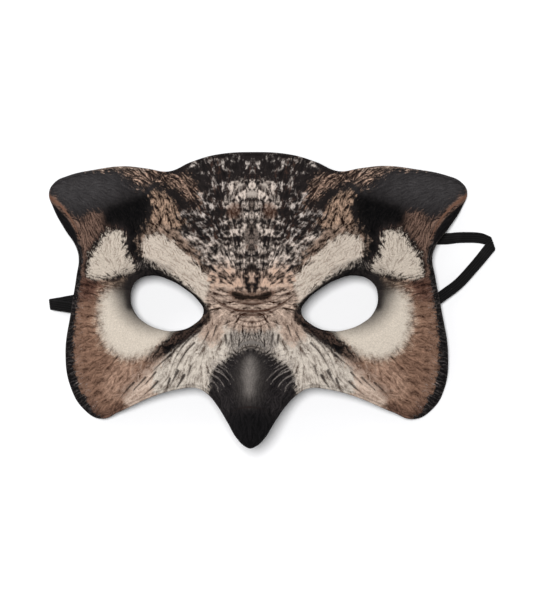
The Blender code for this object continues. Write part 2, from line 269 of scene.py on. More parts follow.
def smooth_line(points, steps, closed=True):
    """The fine line that a Bezier curve with automatic handles draws through the points."""
    curve = bpy.data.curves.new("line", "CURVE")
    curve.dimensions = "2D"
    curve.fill_mode = "NONE"
    curve.resolution_u = steps
    spline = curve.splines.new("BEZIER")
    spline.bezier_points.add(len(points) - 1)
    for knot, (x, y) in zip(spline.bezier_points, points):
        knot.co = (x, y, 0)
        knot.handle_left_type = "AUTO"
        knot.handle_right_type = "AUTO"
    spline.use_cyclic_u = closed
    drawn = bpy.data.objects.new("line", curve)
    bpy.context.scene.collection.objects.link(drawn)
    bpy.context.view_layer.update()
    graph = bpy.context.evaluated_depsgraph_get()
    mesh = bpy.data.meshes.new_from_object(drawn.evaluated_get(graph))
    fine = np.array([vert.co[:2] for vert in mesh.vertices])
    bpy.data.objects.remove(drawn)
    bpy.data.curves.remove(curve)
    bpy.data.meshes.remove(mesh)
    return fine


half = [place(across, up) for across, up in OUTLINE]
whole = half + [(-x, y) for x, y in reversed(half[1:-1])]
outline = smooth_line(whole, OUTLINE_STEPS)
outline = outline[:len(outline) // 2 + 1]
eye_opening = smooth_line([
    (EYE_ACROSS + across * EYE_HALF_LENGTH, EYE_LINE + EYE_UP + up * EYE_HALF_HEIGHT)
    for across, up in EYE_OUTLINE
], EYE_STEPS)
print("right half of the outline:", len(outline), "points; eye:", len(eye_opening), "points")


# %% Distances from those lines
NO_LENGTH = 1e-18


def stretches(x, y, line):
    """For each stretch of an open line: every spot's share along it, and its gap squared."""
    for (ax, ay), (bx, by) in zip(line[:-1], line[1:]):
        dx, dy = bx - ax, by - ay
        long = max(dx * dx + dy * dy, NO_LENGTH)
        share = np.clip(((x - ax) * dx + (y - ay) * dy) / long, 0, 1)
        yield share, (x - ax - share * dx) ** 2 + (y - ay - share * dy) ** 2


def line_gap(x, y, line):
    """How far each spot is from an open line."""
    nearest = np.full(np.shape(x), np.inf)
    for _, gap in stretches(x, y, line):
        nearest = np.minimum(nearest, gap)
    return np.sqrt(nearest)


def within(x, y, line):
    """Which spots lie inside a closed line, or between a half line and the middle plane."""
    odd = np.zeros(np.shape(x), bool)
    for (ax, ay), (bx, by) in zip(line, np.roll(line, -1, axis=0)):
        if ay != by:
            reach = ax + (y - ay) / (by - ay) * (bx - ax)
            odd ^= ((ay > y) != (by > y)) & (x < reach)
    return odd


def depth_within(x, y, line):
    """Distance from a closed line, positive inside it."""
    gap = line_gap(x, y, np.vstack([line, line[:1]]))
    return np.where(within(x, y, line), gap, -gap)


def room(x, y, setback=0.0, eye_setback=0.0):
    """How far a spot lies inside the cut edge of the mask; negative where it is cut away."""
    across = np.abs(x)
    edge = line_gap(across, y, outline)
    edge = np.where(within(across, y, outline), edge, -edge) - setback
    eye = -depth_within(across, y, eye_opening) - eye_setback
    return np.minimum(edge, eye)


# %% [markdown]
# ## The moulded form
# The relief is one height over each spot of the outline: a dished form, a valley between the
# forehead and the brows, raised brows, shallow eye sockets and the ridge of the beak. The numbers
# are those of the solids, so this fine surface lies on them. Here the whole grid is worked out at
# once, because it has many more points.

# %% Numbers of the relief
FORM_DEPTH = 0.040
BEAK_HEIGHT = 0.052
BEAK_WALL_SLOPE = 1.15
BEAK_ROUNDING = 0.004
BEAK_BLEND = 0.0025
VALLEY_DEPTH = 0.0038
VALLEY_WIDTH = 0.0070
BROW_RISE = 0.0062
BROW_WIDTH = 0.0130
NOSE_GROOVE_DEPTH = 0.0030
NOSE_GROOVE_WIDTH = 0.0035
NOSE_GROOVE_LENGTH = 0.0132
SOCKET_DEPTH = 0.0020
SOCKET_HALF_LENGTH = 0.0225
SOCKET_HALF_HEIGHT = 0.0178
SLOPE_OUTSIDE = 1.6
RIDGE_SAMPLES = 41
BEAK_END = -0.07
BEAK_SAMPLES = 400

FORM_ACROSS = (0.0, 0.2, 0.4, 0.6, 0.8, 1.0)
FORM = (
    (-1.00, (0.770, 0.660, 0.500, 0.230, -0.090, -0.450)),
    (-0.75, (0.850, 0.760, 0.640, 0.410, 0.110, -0.225)),
    (-0.37, (0.900, 0.835, 0.745, 0.600, 0.385, 0.100)),
    (0.00, (0.900, 0.850, 0.750, 0.610, 0.410, 0.150)),
    (0.34, (0.960, 0.920, 0.850, 0.710, 0.480, 0.200)),
    (0.68, (0.900, 0.870, 0.810, 0.690, 0.430, 0.070)),
    (1.00, (0.725, 0.700, 0.640, 0.575, 0.350, 0.010)),
)
BEAK_CREST = (
    (0.10, 0.38), (0.20, 0.62), (0.30, 0.80), (0.42, 0.91),
    (0.57, 0.98), (0.72, 1.00), (0.87, 0.955), (1.00, 0.87),
)
VALLEY = ((0.030, 0.16, 0.10), (0.115, 0.36, 0.85), (0.255, 0.62, 1.00), (0.399, 0.879, 0.55))
BROW = ((0.130, -0.08, 0.25), (0.250, 0.30, 0.65), (0.410, 0.57, 1.00), (0.580, 0.80, 0.35))


# %% Height of the face over the table
def line_ridge(x, y, table, width):
    """A soft ridge of height 0 to 1 along the line through the rows of a table."""
    steps = np.linspace(0, len(table) - 1, RIDGE_SAMPLES)
    line = smooth_lookup(range(len(table)), [place(row[0], row[1]) for row in table], steps)
    rise = smooth_lookup(range(len(table)), [row[2] for row in table], steps)
    nearest = np.full(np.shape(x), np.inf)
    top = np.zeros(np.shape(x))
    for (share, gap), start, end in zip(stretches(x, y, line), rise[:-1], rise[1:]):
        top = np.where(gap < nearest, start + share * (end - start), top)
        nearest = np.minimum(nearest, gap)
    return top * np.exp(-nearest / width ** 2)


def plain_form(across, y):
    """The dished form without its valleys, brows and beak."""
    rise = y - EYE_LINE
    share_up = np.where(rise > 0, rise / REACH_UP, rise / REACH_DOWN)
    values = smooth_lookup([row[0] for row in FORM], [row[1] for row in FORM], share_up)
    places = np.array(FORM_ACROSS)
    slopes = np.gradient(values, places, axis=-1)
    share = across / HALF_WIDTH
    at = np.clip(np.searchsorted(places, share) - 1, 0, len(places) - 2)[..., None]
    span = places[1] - places[0]
    t = np.clip((share[..., None] - places[at]) / span, 0, 1)
    ends = [
        np.take_along_axis(table, column, -1)
        for table in (values, slopes) for column in (at, at + 1)]
    flat = cubic(*ends, span, t)[..., 0]
    return (flat - SLOPE_OUTSIDE * np.clip(share - 1, 0, None)) * FORM_DEPTH


def height(x, y):
    """Height of the face's front before the mask is set down on its rim."""
    across = np.abs(x)
    form = plain_form(across, y)
    form = form - VALLEY_DEPTH * line_ridge(across, y, VALLEY, VALLEY_WIDTH)
    form = form + BROW_RISE * line_ridge(across, y, BROW, BROW_WIDTH)
    groove = np.hypot(across / NOSE_GROOVE_WIDTH, (y - EYE_LINE) / NOSE_GROOVE_LENGTH)
    form = form - NOSE_GROOVE_DEPTH * np.exp(-(groove ** 2))
    socket = np.hypot(
        (across - EYE_ACROSS) / SOCKET_HALF_LENGTH,
        (y - EYE_LINE - EYE_UP) / SOCKET_HALF_HEIGHT)
    form = form - SOCKET_DEPTH * np.exp(-(socket ** 2))
    down = np.clip((EYE_LINE - y) / REACH_DOWN, 0, 1)
    crest = BEAK_HEIGHT * smooth_lookup(*zip(*BEAK_CREST), down)
    beak = crest - BEAK_WALL_SLOPE * (np.hypot(across, BEAK_ROUNDING) - BEAK_ROUNDING)
    return (form + beak + np.sqrt((form - beak) ** 2 + BEAK_BLEND ** 2)) / 2


def outward(x, y):
    """The direction that the face's surface looks in at each spot."""
    nudge = 0.00025
    slope_x = (height(x + nudge, y) - height(x - nudge, y)) / (2 * nudge)
    slope_y = (height(x, y + nudge) - height(x, y - nudge)) / (2 * nudge)
    way = np.stack([-slope_x, -slope_y, np.ones_like(slope_x)], axis=-1)
    return way / np.linalg.norm(way, axis=-1)[..., None]


beak_y = np.linspace(BEAK_END, 0, BEAK_SAMPLES)
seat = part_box("printed_face")[1].z - height(np.zeros(BEAK_SAMPLES), beak_y).max()
print("the form is set down by, mm:", round(-seat * 1000, 2))


# %% [markdown]
# ## Cutting a sheet to the outline
# A die cut is hard to get from a square grid: its edge would be a staircase. The grid's points
# nearest the cutting line are moved onto it, each edge that still crosses the line is split
# where it crosses, the new points are joined across their faces, and what lies outside goes.
# This leaves a clean edge and an even grid inside, fine enough to carry the print's borders.

# %% Make a grid and cut it
SHEET_MARGIN = 0.003
SNAP_SHARE = 0.3
WASTE_STEPS = 2.5
NO_DEPTH = 1e-9
FLAT_WALL = 0.001


def cut_sheet(step, setback, eye_setback, step_y=None):
    """A flat sheet with the mask's outline and eye openings, as a bmesh."""
    step_y = step_y or step
    half_x = math.ceil((HALF_WIDTH + SHEET_MARGIN) / step)
    half_y = math.ceil(((REACH_UP + REACH_DOWN) / 2 + SHEET_MARGIN) / step_y)
    xs = np.arange(-half_x, half_x + 1) * step
    ys = np.arange(-half_y, half_y + 1) * step_y
    work = bmesh.new()
    bmesh.ops.create_grid(work, x_segments=2 * half_x, y_segments=2 * half_y, size=1)
    kept = work.verts.layers.float.new("kept")
    ordered = sorted(work.verts, key=lambda v: (round(v.co.y, 5), v.co.x))
    grid_x, grid_y = np.meshgrid(xs, ys)
    inside = room(grid_x, grid_y, setback, eye_setback)
    slope_y, slope_x = np.gradient(inside, ys, xs)
    near = np.abs(inside) < SNAP_SHARE * min(step, step_y)
    grid_x = np.where(near, grid_x - inside * slope_x, grid_x)
    grid_y = np.where(near, grid_y - inside * slope_y, grid_y)
    inside = np.where(near, 0.0, inside)
    for vert, x, y, depth in zip(ordered, grid_x.ravel(), grid_y.ravel(), inside.ravel()):
        vert.co = (x, y, 0)
        vert[kept] = depth
    far_out = [v for v in work.verts if v[kept] < -WASTE_STEPS * max(step, step_y)]
    bmesh.ops.delete(work, geom=far_out, context="VERTS")
    for edge in list(work.edges):
        start, end = edge.verts
        if start[kept] * end[kept] < 0:
            share = start[kept] / (start[kept] - end[kept])
            _, added = bmesh.utils.edge_split(edge, start, share)
            added[kept] = 0.0
    on_line = [vert for vert in work.verts if vert[kept] == 0.0]
    bmesh.ops.connect_verts(work, verts=on_line)
    waste = [f for f in work.faces if sum(v[kept] for v in f.verts) / len(f.verts) < NO_DEPTH]
    bmesh.ops.delete(work, geom=waste, context="FACES")
    loose = [vert for vert in work.verts if not vert.link_faces]
    bmesh.ops.delete(work, geom=loose, context="VERTS")
    work.verts.layers.float.remove(kept)
    return work


def spots_of(work):
    """The x, y and z of every point of a bmesh."""
    return np.array([vert.co[:] for vert in work.verts]).T


def put(work, spots):
    for vert, spot in zip(work.verts, spots):
        vert.co = spot


def give_wall(work):
    """Thicken a flat sheet; gives its points' x and y, and which are on its upper face."""
    bmesh.ops.solidify(work, geom=work.faces, thickness=FLAT_WALL)
    x, y, z = spots_of(work)
    return x, y, z > (z.min() + z.max()) / 2


def lay(work, x, y, depth):
    """Lay a sheet's points on the form, each at its own depth behind the face's front."""
    front = np.stack([x, y, height(x, y) + seat], axis=-1)
    put(work, front - outward(x, y) * depth[:, None])


# %% [markdown]
# ## The foam core
# Between the two cloths lies foam, 1.8 mm thick, pinched thinner by the hot die round the rim. It
# shows as a narrow dark grey band behind and at the cut edge. The cut sheet is given a wall with
# solidify while it is flat, so the inner and outer faces are easy to tell apart; then both are
# laid on the form.

# %% Foam core
FOAM_WALL = 0.0018
CLOTH_WALL = 0.00015
CORE_SINK = 0.0005
CORE_STEP = 0.0013
CORE_SETBACK = 0.0001
RIM_ROUND = 0.0018
RIM_DROP = 0.00055


def rim_drop(depth):
    """How far the front falls towards the cut edge, where the die has pinched the foam."""
    return RIM_DROP * (1 - np.clip(depth / RIM_ROUND, 0, 1)) ** 2


def laid_wall(work, front_depth, back_depth):
    """Lay a flat sheet's wall on the form: its upper face at one depth and its lower at another."""
    x, y, upper = give_wall(work)
    lay(work, x, y, np.where(upper, front_depth(x, y), back_depth(x, y)))
    bmesh.ops.recalc_face_normals(work, faces=work.faces)
    return work


def even_depth(depth):
    return lambda x, y: np.full(x.shape, depth)


def core_front(x, y):
    """Depth of the foam's front: right under the cloth at the rim, a little deeper inside."""
    inside = room(x, y)
    return CLOTH_WALL + CORE_SINK * np.clip(inside / RIM_ROUND, 0, 1) + rim_drop(inside)


core = piece("foam_core", laid_wall(
    cut_sheet(CORE_STEP, CORE_SETBACK, CORE_SETBACK), core_front, even_depth(FOAM_WALL)))
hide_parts("printed_face")
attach(core, "root")

# %% [markdown]
# ## The printed cloth
# The print is a thin knit fused to the foam. It lies over the whole front, and the die turns its
# cut edge down over the foam. Its sheet is finer than the core, because the borders of the print
# are kept on its points.

# %% Printed cloth
CLOTH_STEP = 0.00056
EDGE_DROPS = (0.00006, 0.00015, 0.00025)


def laid_cloth(step):
    """The cloth on the form, with its cut edge turned down in a few narrow bands."""
    work = cut_sheet(step, 0.0, 0.0)
    x, y, _ = spots_of(work)
    lay(work, x, y, rim_drop(room(x, y)))
    rim = [edge for edge in work.edges if edge.is_boundary]
    for drop in EDGE_DROPS:
        grown = bmesh.ops.extrude_edge_only(work, edges=rim)["geom"]
        verts = [item for item in grown if isinstance(item, bmesh.types.BMVert)]
        bmesh.ops.translate(work, verts=verts, vec=(0, 0, -drop))
        rim = [item for item in grown if isinstance(item, bmesh.types.BMEdge)]
    bmesh.ops.recalc_face_normals(work, faces=work.faces)
    return work


cloth = piece("print_cloth", laid_cloth(CLOTH_STEP))
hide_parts("printed_face")
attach(cloth, "root")

# %% [markdown]
# ## The ribbed lining
# The lining is a black knit whose ribs run across the mask, 1.6 mm apart. It stops short of the
# outline, where the die presses it flat onto the foam. The ribs are real relief: the grid is fine
# up and down the mask and coarse along the ribs.

# %% Ribbed lining
LINING_WALL = 0.0009
PRESSED_WALL = 0.00025
LINING_LIFT = 0.00005
PIECE_GAP = 0.0003
LINING_SETBACK = 0.0024
EYE_SETBACK = 0.0008
RIB_PITCH = 0.0016
RIB_DEPTH = 0.00028
RIB_POINTS = 5
LINING_PRESS = 0.0028
LINING_STEP = 0.0014


def lining_back(x, y):
    """Depth of the lining's outer face behind the front: pressed flat at its edge, ribbed inside."""
    inside = np.clip(room(x, y, LINING_SETBACK, EYE_SETBACK) / LINING_PRESS, 0, 1)
    loft = inside * inside * (3 - 2 * inside)
    ribs = np.abs(np.sin(np.pi * y / RIB_PITCH)) - 1
    plain = FOAM_WALL + PIECE_GAP / 3 + PRESSED_WALL
    full = FOAM_WALL + PIECE_GAP + LINING_WALL
    return plain + loft * (full - plain + RIB_DEPTH * ribs)


lining = piece("ribbed_cloth_lining", laid_wall(
    cut_sheet(LINING_STEP, LINING_SETBACK, EYE_SETBACK, step_y=RIB_PITCH / RIB_POINTS),
    even_depth(FOAM_WALL + LINING_LIFT), lining_back))
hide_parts("ribbed_lining")
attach(lining, "root")

# %% [markdown]
# ## The felt patches
# Each end of the elastic is held between the lining and a disc of felt. The disc follows the
# curve of the lining, swells over the flat elastic and has a soft cut edge.

# %% Felt patches
PATCH_FROM_TIP = 0.0246
PATCH_ACROSS = HALF_WIDTH - PATCH_FROM_TIP
PATCH_BELOW_EYES = 0.001
PATCH_UP = EYE_LINE - PATCH_BELOW_EYES
PATCH_RADIUS = 0.00825
PATCH_WALL = 0.0022
PATCH_SEGMENTS = 44
PATCH_SQUARENESS = 10
RIM_SHARE = 0.30
INNER_SHARE = 0.42
SWELL_SHARE = 0.28
SWELL_WIDTH = 0.0034


def felt_patch(name, side):
    """A square grid drawn into a disc, given a wall and laid behind the lining."""
    work = bmesh.new()
    bmesh.ops.create_grid(work, x_segments=PATCH_SEGMENTS, y_segments=PATCH_SEGMENTS, size=1)
    x, y, _ = spots_of(work)
    round_x = x * np.sqrt(1 - y * y / 2)
    round_y = y * np.sqrt(1 - x * x / 2)
    put(work, np.stack([round_x, round_y, np.zeros_like(x)], axis=-1))
    x, y, upper = give_wall(work)
    reach = np.hypot(x, y)
    edge = np.sqrt(np.clip(1 - reach ** PATCH_SQUARENESS, 0, 1))
    x = side * PATCH_ACROSS + x * PATCH_RADIUS
    y = PATCH_UP + y * PATCH_RADIUS
    off_strap = (y - STRAP_ROUTE[0][1]) / SWELL_WIDTH
    swell = np.exp(-off_strap ** 2) * (1 - reach ** 2)
    wall = PATCH_WALL * (RIM_SHARE + INNER_SHARE * edge + SWELL_SHARE * swell)
    near = FOAM_WALL + LINING_WALL + 2 * PIECE_GAP
    lay(work, x, y, np.where(upper, near, near + wall))
    bmesh.ops.recalc_face_normals(work, faces=work.faces)
    return piece(name, work)


patches = []
for word, side in (("left", -1), ("right", 1)):
    patch = felt_patch(word + "_felt_patch", side)
    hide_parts(word + "_patch")
    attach(patch, "root")
    patches.append(patch)


# %% [markdown]
# ## The print: zones
# The print is an owl's plumage seen close up, the same on both sides of the middle. It is built
# up as flat zones laid one over another, each inside smooth closed lines and with two inks: the
# shade between the hairs and the hairs themselves. A few zones are painted light, not print: the
# highlight along the beak and the shade beside the eye openings. Each point of the cloth keeps its
# depth inside every zone in millimetres, so the material can make each border as soft or as hairy
# as it is.

# %% Zones: name, edge softness, raggedness, cover, kind of strokes, their range, inks, lines
# Softness and raggedness are in millimetres. The closed lines are in millimetres from the middle
# plane and the eye line, on the right half.
ZONES = (
    ("forehead_brown", 2.5, 5.0, 0.0, "coarse", (0.42, 1.0), (24, 19, 18), (126, 88, 70), (
        (-8, 66), (3, 64), (9, 59), (12, 62), (13, 67), (16, 71), (22, 72), (28, 71), (21, 65),
        (20, 58), (24, 52), (30, 48), (38, 48), (36, 42), (32, 36), (30, 31), (27, 26), (24, 21),
        (21, 14), (17, 9), (9, 8), (-8, 8))),
    ("forehead_sparse", 2.5, 6.0, 0.0, "mottle", (0.46, 0.88), (22, 19, 19), (212, 200, 192), (
        (11.5, 54), (12, 62), (12.5, 67), (15, 70), (19, 67), (19.5, 62), (17.5, 56), (15, 52)), (
        (8, 67.5), (10, 73), (14.5, 73), (14, 68)), (
        (18, 67.5), (22, 73), (29, 72), (30, 68), (25, 66)), (
        (-3, 62.5), (1.5, 62.5), (2.5, 65), (1, 67), (-3, 67)), (
        (13, 49), (17, 52), (24, 54), (29, 50), (33, 45), (33, 38), (28, 32), (20, 30), (14, 34),
        (12, 42))),
    ("forehead_pale", 2.5, 6.0, 0.0, "mottle", (0.27, 0.76), (28, 21, 19), (226, 210, 198), (
        (-8, 60), (3, 60), (8, 58.5), (9.5, 56), (12.5, 53.5), (13, 49), (11, 45), (10.5, 38),
        (12, 32.5), (17, 29.5), (24, 32), (30, 35.5), (33, 36), (31, 31), (27, 26), (24, 20),
        (20, 12), (14, 8), (-8, 8))),
    ("forehead_bow", 0.6, 1.2, 0.7, "mottle", (0.10, 0.60), (120, 108, 102), (190, 178, 168), (
        (2.6, 57.6), (4.6, 58.6), (6.9, 57.9), (6.6, 56.6), (4.4, 56.2)), (
        (-2, 55.2), (1.2, 55.0), (2.6, 53.2), (1, 52.2), (-2, 52.2))),
    ("forehead_patch", 1.6, 3.0, 0.7, "mottle", (0.20, 0.95), (62, 40, 31), (124, 90, 72), (
        (5.5, 47.5), (8, 49), (11, 47), (11.5, 43.5), (9, 41.5), (6, 43))),
    ("forehead_low", 4.0, 5.0, 0.0, "mottle", (0.14, 0.72), (52, 28, 20), (216, 182, 160), (
        (-8, 16), (6, 17), (14, 19), (21, 16), (23, 10), (19, 5), (10, 6), (-8, 6))),
    ("forehead_dots", 1.0, 3.0, 0.8, "mottle", (0.45, 0.98), (24, 19, 18), (110, 90, 80), (
        (-4, 39.2), (0.4, 39.2), (3.2, 34), (3.0, 31.8), (-4, 32.2)), (
        (-4, 30), (2, 30), (2.6, 27.5), (1, 25.6), (-4, 25.6)), (
        (-4, 49.5), (0.8, 49.5), (1.6, 47), (0.4, 44.4), (-4, 44.4)), (
        (4.2, 24.4), (5.6, 25.6), (7.2, 24.2), (6, 22.4)), (
        (-4, 20.2), (1, 20.2), (2.0, 18.4), (1, 16.6), (-4, 16.6))),
    ("ear_grey", 4.0, 2.5, 1.0, "fine", (0.05, 1.0), (27, 25, 26), (62, 59, 60), (
        (47, 50), (47.5, 57), (51, 59), (56, 59.5), (61, 63.5), (68, 66.2), (80, 67.5), (92, 66),
        (103, 62), (106, 55), (102, 50.5), (95, 46), (89, 42.5), (83, 44.5), (77, 46),
        (71, 46.5), (65, 47.5), (58, 49), (52, 49.5))),
    ("ear_shine", 7.0, 1.0, 0.75, "fine", (0.05, 1.00), (48, 46, 47), (86, 83, 84), (
        (66, 58), (74, 63), (86, 63.5), (96, 61), (101, 55), (95, 50), (85, 48.5), (74, 51.5))),
    ("ear_streak", 1.6, 6.0, 0.45, "fine", (0.42, 0.80), (30, 19, 16), (222, 186, 163), (
        (27, 53.5), (28.5, 59.5), (32, 62.5), (37, 61.8), (42, 63.3), (47, 66.5), (52, 69),
        (60, 71), (72, 71), (84, 68.3), (78, 66.2), (70, 65.3), (64, 64.8), (60, 61), (56, 57.5),
        (51.5, 56.3), (49, 58.5), (45, 59.8), (41, 57.5), (36, 56.2), (33, 53), (29.5, 50.5))),
    ("ear_fan", 2.2, 7.0, 0.5, "coarse", (0.46, 0.86), (34, 20, 15), (226, 188, 165), (
        (25.5, 50), (27, 55), (30.5, 59.5), (35, 61.5), (41, 62), (46, 64.5), (50, 66.5),
        (49.5, 64), (45, 60.5), (41, 58), (37, 56.5), (33.5, 53.5), (30, 49.5), (27, 47.5))),
    ("ear_top_pale", 0.9, 3.0, 0.5, "fine", (0.25, 0.75), (104, 78, 66), (210, 188, 172), (
        (50, 64.6), (56, 65.2), (62, 65.6), (70, 65.9), (78, 65.8), (84, 65.2), (84, 70),
        (70, 71), (52, 70))),
    ("ear_foot", 1.8, 4.5, 0.9, "fine", (0.25, 0.88), (36, 25, 21), (160, 128, 112), (
        (70, 37), (71.5, 42), (76, 45), (80, 44.5), (84.5, 41), (88, 43), (93, 47.5), (99, 53),
        (104, 55), (103, 51), (97, 46), (92.5, 42), (89, 38), (86, 33.5), (85, 28), (85, 20),
        (86, 10), (83, 9), (80.5, 13), (81.5, 20), (79.5, 26.5), (76.5, 31.5), (73, 35))),
    ("ear_edge", 0.4, 0.6, 1.0, "fine", (0.30, 0.90), (15, 14, 15), (34, 31, 32), (
        (104, 54), (100.5, 50.3), (96.5, 47), (92, 42.8), (89, 38.8), (86.8, 34.5), (85.6, 30),
        (86, 24), (92, 26), (95, 34), (101, 44), (106, 50))),
    ("hollow", 3.4, 5.0, 1.0, "fine", (0.40, 0.98), (5, 5, 6), (34, 31, 31), (
        (48, 53), (53, 53.6), (59, 51.6), (66, 49), (71, 46.5), (73, 41), (72.5, 37.5),
        (69, 38.5), (64, 39.5), (60.5, 36.5), (59.5, 30), (58.8, 26), (56, 22.5), (56, 18.5),
        (58.5, 15), (55, 12), (50, 16), (45, 18), (47, 20.5), (51, 22), (54, 25), (55, 30),
        (54, 35), (52, 39), (50.5, 43), (49.5, 46.5), (48, 48))),
    ("oval_fringe", 1.2, 6.0, 1.0, "fine", (0.46, 1.0), (18, 13, 12), (104, 78, 68), (
        (61, 27), (60.8, 32), (62.3, 35.8), (65.5, 37.6), (70, 37.4), (74, 34.5), (78, 29.5),
        (81, 24), (82.6, 17), (82, 11.5), (78, 10.8), (70, 12.5), (63, 14), (57.5, 15.8),
        (55.5, 18.8), (57.5, 22.5))),
    ("oval", 1.6, 6.0, 1.0, "fine", (0.02, 0.56), (104, 84, 72), (219, 206, 191), (
        (62, 27), (62.4, 31.5), (64, 34.6), (66.7, 35.8), (70, 35), (73, 32), (76.3, 27.8),
        (78.8, 23.5), (80.2, 18.5), (79.6, 13.8), (76.3, 12.8), (71, 13.9), (66, 14.9), (61, 16),
        (57.4, 17.9), (57.2, 20), (60, 22.8))),
    ("tan_tuft", 1.4, 5.0, 0.9, "coarse", (0.38, 0.78), (30, 17, 12), (222, 186, 160), (
        (35, 42), (36.5, 46.5), (38.5, 50.5), (42, 53), (46, 55), (48.3, 54), (48, 50),
        (47, 46.5), (48.5, 43), (49.8, 38.5), (49, 35.5), (45, 35), (41, 35.8), (37, 36.5),
        (33.5, 37.5), (31.5, 40))),
    ("brow_fringe", 1.6, 5.5, 0.9, "coarse", (0.34, 0.88), (30, 18, 12), (204, 174, 154), (
        (24, 23), (28, 28.5), (33, 33), (37, 36.8), (42, 38.8), (48, 38), (53, 36), (55, 31),
        (54.3, 26), (51, 24), (45, 24), (38, 22), (30, 18), (24, 13), (21, 15))),
    ("brow", 1.8, 5.0, 1.0, "fine", (0.00, 0.56), (120, 95, 80), (226, 212, 197), (
        (21, 4), (20.5, 8), (21, 12.5), (23.5, 16.5), (27, 20.5), (31, 24), (35.5, 28),
        (40, 31.5), (45, 34), (49, 33.6), (52.3, 30.5), (52.8, 26.6), (50.6, 22.6), (46, 19.4),
        (41.5, 16.8), (36.5, 13.6), (31.5, 9.8), (27, 5.8), (24, 2.4), (22.5, 0.5))),
    ("lid_hairs", 0.8, 3.0, 0.3, "fine", (0.45, 0.95), (52, 46, 45), (168, 158, 150), (
        (38, 17), (43, 20.4), (49, 22.3), (55, 21.5), (56.5, 18.5), (50, 18.3), (44, 17.6))),
    ("lid", 0.6, 1.2, 1.0, "fine", (0.45, 1.00), (12, 11, 12), (62, 55, 53), (
        (22, -2), (23.0, 1.9), (27, 5.5), (32, 9.4), (37, 12.7), (42, 15.2), (47.5, 17.2),
        (53, 17.6), (57.5, 14.9), (61, 11.6), (62.0, 7), (55, 8), (45, 8), (30, 2), (25.5, -4))),
    ("under_oval", 1.6, 4.0, 1.0, "fine", (0.55, 1.0), (13, 12, 13), (62, 50, 46), (
        (56, 14.5), (62, 13.2), (68, 12.2), (75, 11.3), (82, 11.5), (86, 13), (88, 7), (84, 7.5),
        (78, 8), (71, 8.9), (66, 9.3), (62, 9.5), (58, 9.5))),
    ("cheek", 2.0, 5.0, 1.0, "short", (0.16, 0.84), (46, 25, 18), (174, 136, 114), (
        (73, 10), (79, 11), (86, 11), (90, 0), (93, -20), (92, -38), (84, -54), (75, -59),
        (67, -54), (60, -50), (55, -45), (52, -38), (47, -33), (44.5, -28), (49, -26), (56, -24),
        (63, -24), (69, -21.5), (73, -17), (75, -11), (75.8, -4), (75, 4))),
    ("cheek_low", 4.0, 3.0, 0.85, "short", (0.16, 0.82), (74, 46, 34), (216, 178, 154), (
        (52, -31), (58, -28), (66, -28), (72, -33), (72, -42), (66, -44), (59, -41), (54, -37))),
    ("cheek_top", 2.5, 3.0, 0.9, "short", (0.28, 0.94), (36, 19, 15), (136, 98, 84), (
        (70, 9.5), (76, 12), (86, 12), (87, 4), (80, 2.5), (76, 4), (73, 6.5))),
    ("lobe", 2.5, 4.0, 0.85, "short", (0.22, 0.90), (28, 16, 14), (144, 108, 92), (
        (64, -48), (68, -54), (75, -58), (82, -54), (86, -46), (80, -45), (75, -49.5),
        (70, -48.5), (66, -46))),
    ("side_rim", 0.6, 3.4, 1.0, "fine", (0.45, 0.98), (17, 15, 16), (96, 90, 88), (
        (83.6, 28), (83.9, 18), (85, 8), (86.2, 0), (87.3, -9), (88.1, -18), (88.1, -26),
        (86.9, -34), (84.4, -41), (81, -47), (77.5, -51.5), (73.5, -54.5), (76, -60), (88, -56),
        (98, -42), (100, -20), (97, 0), (94, 20), (90, 30))),
    ("side_flecks", 1.2, 5.0, 0.0, "fine", (0.56, 0.86), (52, 40, 36), (168, 150, 141), (
        (84.9, 10), (85.9, 2), (86.8, -8), (87.5, -18), (87.4, -26), (86.2, -34), (83.8, -41),
        (80.4, -46.5), (77.2, -49.9), (76.6, -48.4), (80, -43), (83, -35), (84.6, -26),
        (84.9, -18), (84.4, -8), (83.8, 2), (83.2, 9))),
    ("disc_fringe", 3.4, 6.5, 0.55, "coarse", (0.22, 0.80), (92, 60, 45), (214, 184, 160), (
        (62, 12.5), (67, 12.2), (72.4, 10.8), (75.8, 6.2), (77.2, 0), (77.4, -8), (76, -14.8),
        (73, -20.4), (68.6, -24.4), (63, -26.8), (56.5, -27), (50, -24.6), (45, -20.6),
        (40, -15), (45, -8), (57, 0))),
    ("disc", 3.4, 4.0, 1.0, "fine", (0.00, 0.34), (196, 181, 164), (224, 212, 197), (
        (61, 6.6), (66, 7.8), (70.2, 7.4), (73.4, 4.4), (74.6, 0), (74.8, -7), (73.8, -13),
        (71.3, -18), (67.6, -21.6), (62.5, -23.8), (57, -24), (51.5, -22.3), (46.5, -19.2),
        (42.5, -16), (39.5, -12.5), (38.5, -9), (45, -6), (57, 0))),
    # Painted shade: this zone and the next darken the cloth beside the outer rim of the eye opening.
    ("disc_shade", 6.0, 0.6, 0.9, "fine", (0.10, 0.90), (24, 22, 22), (44, 41, 40), (
        (55, 15), (66, 13), (68.2, 8.6), (66.6, 3.2), (64.2, -2), (60.6, -6), (56, -8.8),
        (50.5, -10.6), (44, -11.2), (38, -11), (40, -6), (50, 0), (55, 5))),
    ("disc_rim_shade", 1.6, 0.4, 0.9, "fine", (0.10, 0.90), (28, 25, 25), (48, 43, 42), (
        (55, 15), (61.5, 12.4), (62.3, 8), (61.9, 3), (60.3, -1.5), (56, 2), (55, 5))),
    ("tan_low", 2.4, 5.0, 1.0, "coarse", (0.04, 0.60), (104, 72, 54), (226, 202, 184), (
        (42, -24), (50, -29), (56, -34), (60, -39), (63, -44), (58, -50), (50, -48), (44, -44),
        (40, -38), (38, -30))),
    ("feathers", 1.6, 5.0, 1.0, "coarse", (0.16, 0.64), (84, 67, 57), (224, 213, 200), (
        (7, -8), (11, -3), (17, -4), (22, -7.5), (28, -12.5), (33, -16.5), (38, -20.5),
        (43, -25.5), (47, -30), (49, -35), (47, -41), (42, -45), (32, -44), (24, -43),
